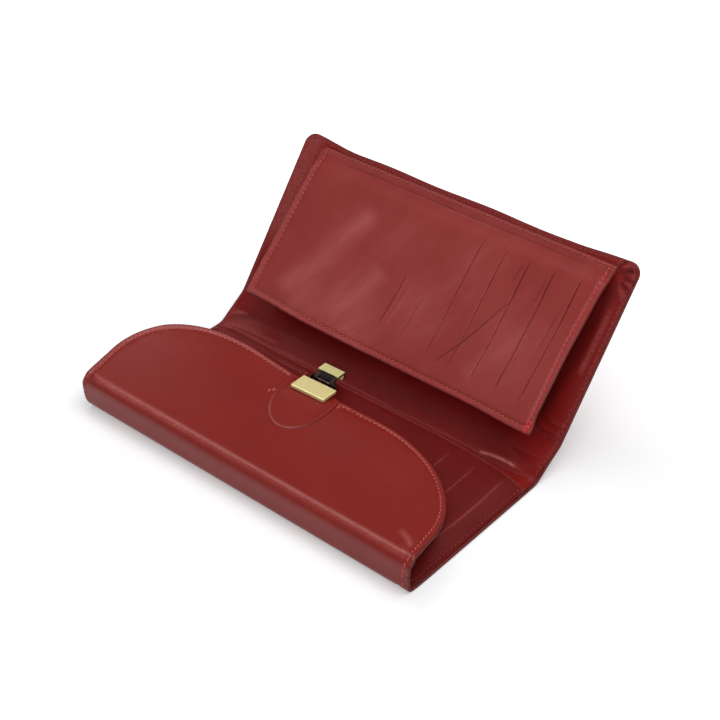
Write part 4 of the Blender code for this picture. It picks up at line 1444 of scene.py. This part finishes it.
# %% Cut the linings behind the slits
def card_linings(name, count, shape_of):
    """The linings behind one panel's slits, joined to one piece. A function gives each one's near
    and far end, bend, thickness and level, from the solid tongue's box."""
    pieces = []
    for number in range(1, count + 1):
        low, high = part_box(f"{name}_card_tongue_{number}")
        near, far, *shape = shape_of(low, high)
        lining = Panel(
            f"{name}_card_lining_{number}", box_outline(low.x, high.x, near, far), *shape,
            rounding=0.25 * mm, grid=4 * mm, edge_steps=(0.1, 0.4),
        )
        pieces.append(lining.build(slit_dark))
    with bpy.context.temp_override(active_object=pieces[0], selected_editable_objects=pieces):
        bpy.ops.object.join()
    pieces[0].name = f"{name}_card_linings"
    return pieces[0]


base_card_linings = card_linings("base", 3, lambda low, high: (
    low.y, high.y, flat_bend, high.z - low.z, (low.z + high.z) / 2))
leaf_card_linings = card_linings("leaf", 5, lambda low, high: (
    leaf_slit_near - tongue_overlap, leaf_slit_far + tongue_overlap, leaf_plane, card_lining_leather, 0.0))

# %% [markdown]
# The tab under the clasp
# A round tab of leather is sewn on the flap's middle and carries the clasp. Its edge is skived
# thin, so it lies almost flush and only its rounded rim catches the light. A highlight is painted
# on the rim towards the front and the left, and a shadow along the step at its right side.

# %% Cut the tab
tab_half, tab_left_half = 14 * mm, 15.8 * mm
tab_centre = flap_depth - 10.5 * mm
tab_round = 27 * mm
tab_end = flap_depth - 1 * mm
tab_outline = []
for step in range(49):
    turn = math.pi + math.pi * step / 48
    half = tab_half if math.cos(turn) > 0 else tab_left_half
    tab_outline.append((half * math.cos(turn), tab_centre + tab_round * math.sin(turn)))
tab_outline += [(tab_half, tab_end), (-tab_left_half, tab_end)]


def tab_thickness(spots):
    """The tab's edge is skived."""
    return (0.42 + 0.28 * smooth_step(spots.rim, 0.6 * mm, 9 * mm)) * mm


def tab_level(spots):
    """The tab lies on the flap and rises a little to where the clasp sits."""
    seat = 0.75 * mm * smooth_step(spots.along, flap_depth - 21 * mm, flap_depth - 11 * mm)
    skived = 0.16 * mm * (1 - smooth_step(spots.rim, 0, 0.7 * mm))
    return (flap_level(spots) + half_cover + 0.02 * mm + tab_thickness(spots) / 2 - skived
            + seat * smooth_step(spots.rim, 1 * mm, 5 * mm))


def tab_bead(spots):
    """The tab's turned rim is a thin bead, with a shallow groove inside it."""
    bead = 0.15 * mm * np.exp(-((spots.rim - 0.75 * mm) / (0.50 * mm)) ** 2)
    return bead - 0.10 * mm * np.exp(-((spots.rim - 1.9 * mm) / (0.70 * mm)) ** 2)


def tab_bead_highlight(spots):
    """A painted highlight on the bead, strongest where the tab's round end faces the front and the left."""
    front = 1 - smooth_step(spots.along + 0.5 * spots.across, flap_depth - 36 * mm, flap_depth - 22 * mm)
    return 0.06 + 0.64 * front


def tab_shade(spots):
    """A painted shadow along the step at the tab's right side."""
    side = smooth_step(spots.across, -2 * mm, 8 * mm)
    side = side * (1 - smooth_step(spots.along, flap_depth - 12 * mm, flap_depth - 6 * mm))
    return 0.75 * side * np.exp(-(spots.rim / (0.40 * mm)) ** 2)


clasp_tab = Panel(
    "clasp_tab_leather", tab_outline, flap_bend, tab_thickness, tab_level, rounding=0.45 * mm, grid=1.2 * mm,
    relief=tab_bead, rim_ink=0.10,
)
clasp_tab.build(flap_red, wear_and_highlight=pale_rim_band(0.80 * mm, 0.50 * mm, tab_bead_highlight), ink=tab_shade)

# %% [markdown]
# Stitches
# A lockstitch shows on each face as a row of short raised threads that dive into the leather at
# both ends. A row is described once, as a tree of geometry nodes: it walks along a line on the
# leather, steps by the pitch, and lays one curved thread at each step, turned to lie along the
# line and to stand out of the surface.


# %% The tree that sews
def sewing_tree():
    """Mesh lines in, a row of stitches out. The lines carry the direction out of the leather."""
    tree = bpy.data.node_groups.new("row of stitches", "GeometryNodeTree")
    sizes = (("Pitch", stitch_pitch), ("Stitch Length", 1.9 * mm), ("Thread Radius", 0.30 * mm),
             ("Rise", 0.50 * mm), ("Slant", 0.16), ("Wander", 0.10))
    tree.interface.new_socket("Geometry", in_out="INPUT", socket_type="NodeSocketGeometry")
    for name, value in sizes:
        socket = tree.interface.new_socket(name, in_out="INPUT", socket_type="NodeSocketFloat")
        socket.default_value = value
    seed = tree.interface.new_socket("Seed", in_out="INPUT", socket_type="NodeSocketInt")
    seed.default_value = 7
    tree.interface.new_socket("Thread", in_out="INPUT", socket_type="NodeSocketMaterial")
    tree.interface.new_socket("Geometry", in_out="OUTPUT", socket_type="NodeSocketGeometry")

    def add(kind, settings=(), links=(), values=()):
        node = tree.nodes.new(kind)
        for name, value in dict(settings).items():
            setattr(node, name, value)
        for key, value in dict(values).items():
            node.inputs[key].default_value = value
        for key, source in dict(links).items():
            tree.links.new(source, node.inputs[key])
        return node

    given = add("NodeGroupInput").outputs
    line = add("GeometryNodeMeshToCurve", links={"Mesh": given["Geometry"]})
    steps = add("GeometryNodeResampleCurve", {"mode": "LENGTH"},
                {"Curve": line.outputs["Curve"], "Length": given["Pitch"]})

    def times(source, factor):
        return add("ShaderNodeMath", {"operation": "MULTIPLY"}, {0: source}, {1: factor}).outputs[0]

    half, back = times(given["Stitch Length"], 0.5), times(given["Stitch Length"], -0.5)
    sink = times(given["Thread Radius"], -1.2)
    ends = [add("ShaderNodeCombineXYZ", links={"X": end, "Z": sink}) for end in (back, half)]
    top = add("ShaderNodeCombineXYZ", links={"Z": given["Rise"]})
    thread_line = add("GeometryNodeCurveQuadraticBezier", {},
                      {"Start": ends[0].outputs[0], "Middle": top.outputs[0], "End": ends[1].outputs[0]},
                      {"Resolution": 5})
    ring = add("GeometryNodeCurvePrimitiveCircle", {}, {"Radius": given["Thread Radius"]},
               {"Resolution": 6})
    one = add("GeometryNodeCurveToMesh", {},
              {"Curve": thread_line.outputs["Curve"], "Profile Curve": ring.outputs["Curve"]},
              {"Fill Caps": True})

    out = add("GeometryNodeInputNamedAttribute", {"data_type": "FLOAT_VECTOR"}, values={"Name": "out"})
    along = add("GeometryNodeInputTangent")
    facing = add("FunctionNodeAxesToRotation", {"primary_axis": "Z", "secondary_axis": "X"},
                 {"Primary Axis": out.outputs["Attribute"], "Secondary Axis": along.outputs["Tangent"]})
    # the node's float sockets are its inputs 2 and 3 and its output 1
    chance = add("FunctionNodeRandomValue", {"data_type": "FLOAT"},
                 {2: times(given["Wander"], -1.0), 3: given["Wander"], "Seed": given["Seed"]})
    lean = add("ShaderNodeMath", {"operation": "ADD"}, {0: chance.outputs[1], 1: given["Slant"]})
    lean_euler = add("ShaderNodeCombineXYZ", links={"Z": lean.outputs[0]})
    lean_turn = add("FunctionNodeEulerToRotation", links={"Euler": lean_euler.outputs[0]})
    turned = add("FunctionNodeRotateRotation", {"rotation_space": "LOCAL"},
                 {"Rotation": facing.outputs[0], "Rotate By": lean_turn.outputs[0]})
    row = add("GeometryNodeInstanceOnPoints", {},
              {"Points": steps.outputs["Curve"], "Instance": one.outputs["Mesh"],
               "Rotation": turned.outputs[0]})
    real = add("GeometryNodeRealizeInstances", {}, {"Geometry": row.outputs["Instances"]})
    smooth = add("GeometryNodeSetShadeSmooth", {}, {"Geometry": real.outputs["Geometry"]})
    dyed = add("GeometryNodeSetMaterial", {},
               {"Geometry": smooth.outputs["Geometry"], "Material": given["Thread"]})
    result = add("NodeGroupOutput")
    tree.links.new(dyed.outputs["Geometry"], result.inputs[0])
    return tree


sewing = sewing_tree()
socket_names = {
    item.name: item.identifier for item in sewing.interface.items_tree if item.in_out == "INPUT"}


def sew(name, lines, yarn=thread, **sizes):
    """Rows of stitches along lines of (places, outward directions), as one plain mesh."""
    places, outs, edges = [], [], []
    for line, out in lines:
        first = len(places)
        places += line.tolist()
        outs += out.tolist()
        edges += [(first + index, first + index + 1) for index in range(len(line) - 1)]
    guide = bpy.data.meshes.new(name + "_line")
    guide.from_pydata(places, edges, [])
    attribute = guide.attributes.new("out", "FLOAT_VECTOR", "POINT")
    attribute.data.foreach_set("vector", np.asarray(outs, np.float32).ravel())
    piece = put_in_scene(name, guide)
    modifier = piece.modifiers.new("sewing", "NODES")
    modifier.node_group = sewing
    modifier[socket_names["Thread"]] = yarn
    for size, value in sizes.items():
        modifier[socket_names[size.replace("_", " ")]] = value
    shaped = piece.evaluated_get(bpy.context.evaluated_depsgraph_get())
    mesh = bpy.data.meshes.new_from_object(shaped)
    piece.modifiers.remove(modifier)
    piece.data = mesh
    bpy.data.meshes.remove(guide)
    print(f"{name}: {len(mesh.polygons)} faces")
    return piece


thread_lift = 0.10 * mm
thread_step = 0.45 * mm
longest_jump = 3 * mm
shortest_line = 4  # points


def sewing_lines(panel, side, inset=stitch_inset, keep=None):
    """The lines on a panel's face, a fixed way inside its cut edge. They break where the cut edge
    does and where the stitches aren't wanted."""
    path = panel.inset(inset, thread_step)
    wanted = np.ones(len(path), bool) if keep is None else keep(path)
    breaks = [0]
    for index in range(1, len(path)):
        jumps = math.dist(path[index], path[index - 1]) > longest_jump
        if jumps or wanted[index] != wanted[index - 1]:
            breaks.append(index)
    lines = []
    for first, last in zip(breaks, breaks[1:] + [len(path)]):
        if wanted[first] and last - first > shortest_line:
            lines.append(panel.points(path[first:last], side, thread_lift))
    return lines


# %% Sew the wallet
def clear_of_tab(path):
    """Off the tab, and off the strip's left end, which is folded but not sewn."""
    tab = (np.abs(path[:, 0] + 1.5 * mm) < 15.5 * mm) & (path[:, 1] > 40 * mm)
    return ~tab & ((path[:, 0] > 0) | (path[:, 1] > 7 * mm))


def right_end(path):
    return (path[:, 1] > 3.2 * mm) & (path[:, 0] > 0)


def pocket_ends(path):
    return (np.abs(path[:, 0]) > wallet_half - 6 * mm) & (path[:, 1] < 34 * mm)


def off_the_mouth(path):
    """The left pocket's right end is under the flap and isn't sewn."""
    return path[:, 0] < left_high.x - 4 * mm


def sewing_paths(panel, paths, lift=thread_lift):
    """Rows of stitches on a panel's upper face, along paths of their own."""
    fine = [np.concatenate([divided(a, b, thread_step) for a, b in zip(*edges_of(path))]) for path in paths]
    return [panel.points(places, 1, lift) for places in fine]


back_tacks = [  # two stitches over each other, on both sides of the tab
    points_of((-15.6, 53.8), (-17.2, 51.4)), points_of((-16.2, 54.2), (-17.8, 52.0)),
    points_of((16.6, 68.4), (14.6, 66.0)), points_of((17.2, 68.0), (15.2, 65.6)),
]
corner_tacks = [  # four short ones round the leaf's right corner
    leaf_seam[2] + tack for tack in (
        points_of((0.2, 0.6), (-0.4, -1.9)), points_of((0.9, 0.8), (0.5, -1.7)),
        points_of((-0.5, 2.2), (-0.8, -0.4)), points_of((1.4, 2.6), (1.1, 0.2)))]
fine_row = {"Stitch_Length": 1.5 * mm, "Thread_Radius": 0.24 * mm, "Rise": 0.38 * mm}
band_path = np.array([(leaf_right - 2 * mm, band_far - band_seam), (leaf_left + 2 * mm, band_far - band_seam)])

base_stitches = sew("base_stitches", sewing_lines(base_cover, 1, keep=right_end))
flap_stitches = sew(
    "flap_stitches",
    sewing_lines(flap_cover, 1, keep=clear_of_tab) + sewing_paths(flap_cover, back_tacks, 0.2 * mm)
    + sewing_lines(flap_lining, -1, 2.4 * mm, keep=clear_of_tab),
    Stitch_Length=1.55 * mm, Thread_Radius=0.36 * mm, Rise=0.62 * mm, Slant=0.35)
spine_stitches = sew(
    "spine_stitches",
    sewing_lines(spine_cover, -1) + sewing_lines(spine_lining, 1, 1.5 * mm, keep=lambda path: path[:, 1] > 0),
    lining_thread, **fine_row)
lid_stitches = sew(
    "lid_stitches", sewing_lines(lid_cover, -1) + sewing_lines(lid_lining, 1, 1.5 * mm), lining_thread,
    **fine_row)
pocket_stitches = sew(
    "pocket_stitches",
    sewing_lines(base_pocket, 1, 1.6 * mm, keep=pocket_ends)
    + sewing_lines(left_pocket, 1, 2.2 * mm, keep=off_the_mouth),
    lining_thread, Stitch_Length=1.4 * mm, Thread_Radius=0.20 * mm, Rise=0.30 * mm)
leaf_stitches = sew("leaf_stitches", sewing_paths(leaf_front, [leaf_seam[2:]]),
                    Stitch_Length=1.7 * mm, Thread_Radius=0.27 * mm, Rise=0.44 * mm)
leaf_edge_stitches = sew(
    "leaf_edge_stitches",
    sewing_paths(leaf_front, [leaf_seam[:3]]) + sewing_paths(leaf_front, corner_tacks, 0.25 * mm),
    fresh_thread, Stitch_Length=1.6 * mm, Thread_Radius=0.34 * mm, Rise=0.56 * mm, Slant=0.35)
band_stitches = sew("band_stitches", sewing_paths(leaf_hinge_band, [band_path]),
                    Thread_Radius=0.22 * mm, Rise=0.34 * mm)
leaf_back_stitches = sew("leaf_back_stitches",
                         sewing_lines(leaf_back, -1, keep=lambda path: path[:, 1] < -5 * mm),
                         lining_thread)

# %% [markdown]
# The clasp's metal
# The clasp's parts are rigid, so the solid model's own shapes stay. They only get their finish.
# The hook's plate is brass. Its two arms and its side faces get the bracket's blackened steel as
# painted shade, and a plain dark sheet closes the space between them as painted shade.

# %% Finish the metal
for node, metal in {
    "clasp_plate": brass, "clasp_hook": brass, "clasp_back_plate": brass, "keeper_plate": brass,
    "keeper_rivet_left": brass, "keeper_rivet_right": brass, "clasp_bracket": dark_steel_and_shade,
    "clasp_rivet_left": dark_steel_and_shade, "clasp_rivet_right": dark_steel_and_shade, "clasp_spring": dark_steel_and_shade,
    "clasp_pin": rod_steel,
}.items():
    solid = frame["nodes"][node]
    solid.data.materials.clear()
    solid.data.materials.append(metal)

hinge = next(joint for joint in frame["joints"] if joint["name"] == "clasp_hinge")
pin_place, pin_line = Vector(hinge["pos_m"]), Vector(hinge["axis"]).normalized()
cap_faces = frame["nodes"]["clasp_plate"].data.polygons
clasp_up = max(cap_faces, key=lambda face: face.area).normal.copy()
clasp_up = clasp_up if clasp_up.z > 0 else -clasp_up
clasp_back = clasp_up.cross(pin_line).normalized()

arms_end = 2.79 * mm  # behind the pin, where the hook's plate starts
hook = frame["nodes"]["clasp_hook"]
hook.data.materials.append(dark_steel_and_shade)
# the arms and the side faces are painted dark as shade
for face in hook.data.polygons:
    on_arm = (face.center - pin_place).dot(clasp_back) < arms_end
    on_side = abs(face.normal.dot(pin_line)) > 0.9
    if on_arm or on_side:
        face.material_index = 1

# a dark sheet between the arms, which stands in for the shade there
shade_sheet_half_width = 3.35 * mm
shade_sheet_profile = [  # in millimetres behind the pin and above it
    (0.75, 1.05), (1.20, 0.62), (1.95, 1.50), (1.95, -0.9), (2.40, -0.9), (2.40, 2.10), (2.76, 2.62),
    (2.76, 3.20)]
shade_sheet_places = [pin_place + pin_line * side * shade_sheet_half_width + clasp_back * y * mm + clasp_up * z * mm
              for side in (-1, 1) for y, z in shade_sheet_profile]
shade_sheet_count = len(shade_sheet_profile)
shade_sheet_faces = [list(range(shade_sheet_count)), list(range(2 * shade_sheet_count - 1, shade_sheet_count - 1, -1))]
for first in range(shade_sheet_count):
    second = (first + 1) % shade_sheet_count
    shade_sheet_faces.append([second, first, first + shade_sheet_count, second + shade_sheet_count])
shade_sheet_mesh = bpy.data.meshes.new("clasp_hook_shade_sheet")
shade_sheet_mesh.from_pydata(shade_sheet_places, [], shade_sheet_faces)
shade_sheet_mesh.materials.append(dark_steel_and_shade)
hook_shade_sheet = put_in_scene("clasp_hook_shade_sheet", shade_sheet_mesh)

# %% [markdown]
# What moves with what
# Panels that cross a fold have their place baked into their meshes, and the start and end of each
# fold's arc are worked out. Everything else rides on one part.

# %% Hang everything on the moving parts


def yz_point(y, z):
    return (0.0, float(y), float(z))


def fold_reach(radius, turn):
    """How far from its corner an arc of this radius and turn starts."""
    return radius * math.tan(turn / 2)


def around(fold, before, after, reach):
    """Where the bending starts and ends, for a fold with these two directions."""
    start = fold - reach * np.array([math.cos(before), math.sin(before)])
    end = fold + reach * np.array([math.cos(after), math.sin(after)])
    return {"start": yz_point(*start), "end": yz_point(*end)}


quarter = math.pi / 2
front_low_zone = around(front_low, math.pi, quarter, fold_reach(max(front_low_radii), quarter))
front_high_zone = around(front_high, quarter, 0.0, fold_reach(front_high_radius, quarter))
spine_low_zone = around(spine_low, 0.0, spine_lean, 1.5 * fold_reach(spine_low_radius, spine_lean))
spine_high_zone = around(spine_high, spine_lean, lid_lean,
                         2 * fold_reach(spine_high_radius, lid_lean - spine_lean))

for piece in (base_cover.object, front_lining.object, base_stitches):
    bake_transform(piece)
for piece in (flap_cover.object, flap_lining.object, flap_stitches):
    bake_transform(piece)
for piece in (spine_cover.object, spine_lining.object, spine_stitches):
    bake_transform(piece)
for piece in (lid_cover.object, lid_lining.object, lid_stitches):
    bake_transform(piece)
for piece in (leaf_front.object, leaf_stitches, leaf_edge_stitches):
    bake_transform(piece)
for piece in (base_lining.object, base_pocket.object, left_pocket.object, base_card_linings, pocket_stitches):
    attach(piece, "base")
for piece in (leaf_back.object, leaf_card_linings, leaf_back_stitches):
    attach(piece, "leaf")
for piece in (leaf_hinge_band.object, band_stitches):
    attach(piece, "lid")
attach(clasp_tab.object, "flap")
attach(hook_shade_sheet, "hook")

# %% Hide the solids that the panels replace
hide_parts("cover_base", "front_lower_crease")
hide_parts("cover_front_edge", "front_upper_crease", "cover_flap")
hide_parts("spine_lower_crease", "cover_spine")
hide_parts("spine_upper_crease", "cover_lid")
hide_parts("front_edge_lining")
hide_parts("flap_lining")
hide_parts("base_lining")
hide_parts("spine_lining")
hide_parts("lid_lining")
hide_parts("base_pocket_panel")
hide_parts("base_left_pocket")
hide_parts("leaf_face", "leaf_crease")
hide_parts("leaf_hinge_strip")
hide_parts("leaf_back")
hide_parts(*(f"base_card_tongue_{number}" for number in (1, 2, 3)))
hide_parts(*(f"leaf_card_tongue_{number}" for number in (1, 2, 3, 4, 5)))
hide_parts("clasp_tab")

# %% [markdown]
# A plain white studio
# The wallet lies on a white table. A large soft light hangs over it from behind, on the side
# away from the camera's reflections, and a weaker one fills in from the right. A wide, dim wall at
# the left puts a soft sheen on the leaf and the strip, and a small panel above it stands where the
# round front fold mirrors it. The table glows a little for the camera, and more away from the
# wallet. That makes the background white, while the light on the leather stays at a plain level.

# %% Build the table
glow_at_wallet, glow_added_away = 0.26, 0.6
glow_starts, glow_full = 0.12, 0.32  # metres from the middle of the wallet's soft shadow
shadow_middle = (0.05, -0.01, 0)

table_paint = Paint("white table")
ray = table_paint.node("ShaderNodeLightPath")
seen = ray["Is Camera Ray"].math("MAXIMUM", ray["Is Glossy Ray"]).math("MAXIMUM", ray["Is Transmission Ray"])
matt = table_paint.node("ShaderNodeBsdfDiffuse", {}, {"Color": (0.80, 0.80, 0.80, 1)})
soft = table_paint.node("ShaderNodeBsdfDiffuse", {}, {"Color": (0.78, 0.78, 0.79, 1)})
from_shadow = table_paint.node("ShaderNodeVectorMath", {"operation": "SUBTRACT"},
                               [table_paint.node("ShaderNodeTexCoord")["Object"], shadow_middle])["Vector"]
away = table_paint.node("ShaderNodeVectorMath", {"operation": "LENGTH"}, [from_shadow])["Value"]
strength = glow_at_wallet + away.between(glow_starts, glow_full) * glow_added_away
glow = table_paint.node("ShaderNodeEmission", {}, {"Color": (1, 1, 1, 1), "Strength": strength})
bright = table_paint.node("ShaderNodeAddShader", {}, [soft["BSDF"], glow["Emission"]])
shown = table_paint.node("ShaderNodeMixShader", {}, [seen, matt["BSDF"], bright["Shader"]])
table_paint.tree.links.new(shown["Shader"].socket, table_paint.output.inputs["Surface"])

table_half = 4.0
just_under = -0.1 * mm
table_mesh = bpy.data.meshes.new("table")
table_mesh.from_pydata(
    [(-table_half, -table_half, 0), (table_half, -table_half, 0), (table_half, table_half, 0),
     (-table_half, table_half, 0)], [], [(0, 1, 2, 3)],
)
table_mesh.materials.append(table_paint.material)
table = put_in_scene("table", table_mesh)
table.location.z = just_under


# %% Hang the lights
wallet_middle = Vector((0, 0.04, 0.03))


def softbox(name, direction, distance, size, power):
    """A square light that faces the wallet."""
    light = bpy.data.lights.new(name, "AREA")
    light.shape = "SQUARE"
    light.size = size
    light.energy = power
    lamp = put_in_scene(name, light)
    aim = Vector(direction).normalized()
    lamp.location = wallet_middle + aim * distance
    lamp.rotation_euler = aim.to_track_quat("Z", "Y").to_euler()


softbox("overhead softbox", (0.22, 0.20, 0.95), 1.1, 0.95, 8.4)
softbox("right fill", (0.45, -0.70, 0.55), 1.4, 0.8, 5.2)
softbox("left wall", (-0.52, -0.60, 0.60), 1.4, 1.3, 2.0)
softbox("highlight panel", (-0.50, 0.22, 0.84), 1.1, 0.45, 1.9)

world = bpy.data.worlds.new("white room")
bpy.context.scene.world = world
world.use_nodes = True
room = world.node_tree.nodes["Background"]
room.inputs["Color"].default_value = (1.0, 1.0, 1.0, 1)
room.inputs["Strength"].default_value = 0.16

bpy.context.scene.view_settings.view_transform = "Standard"
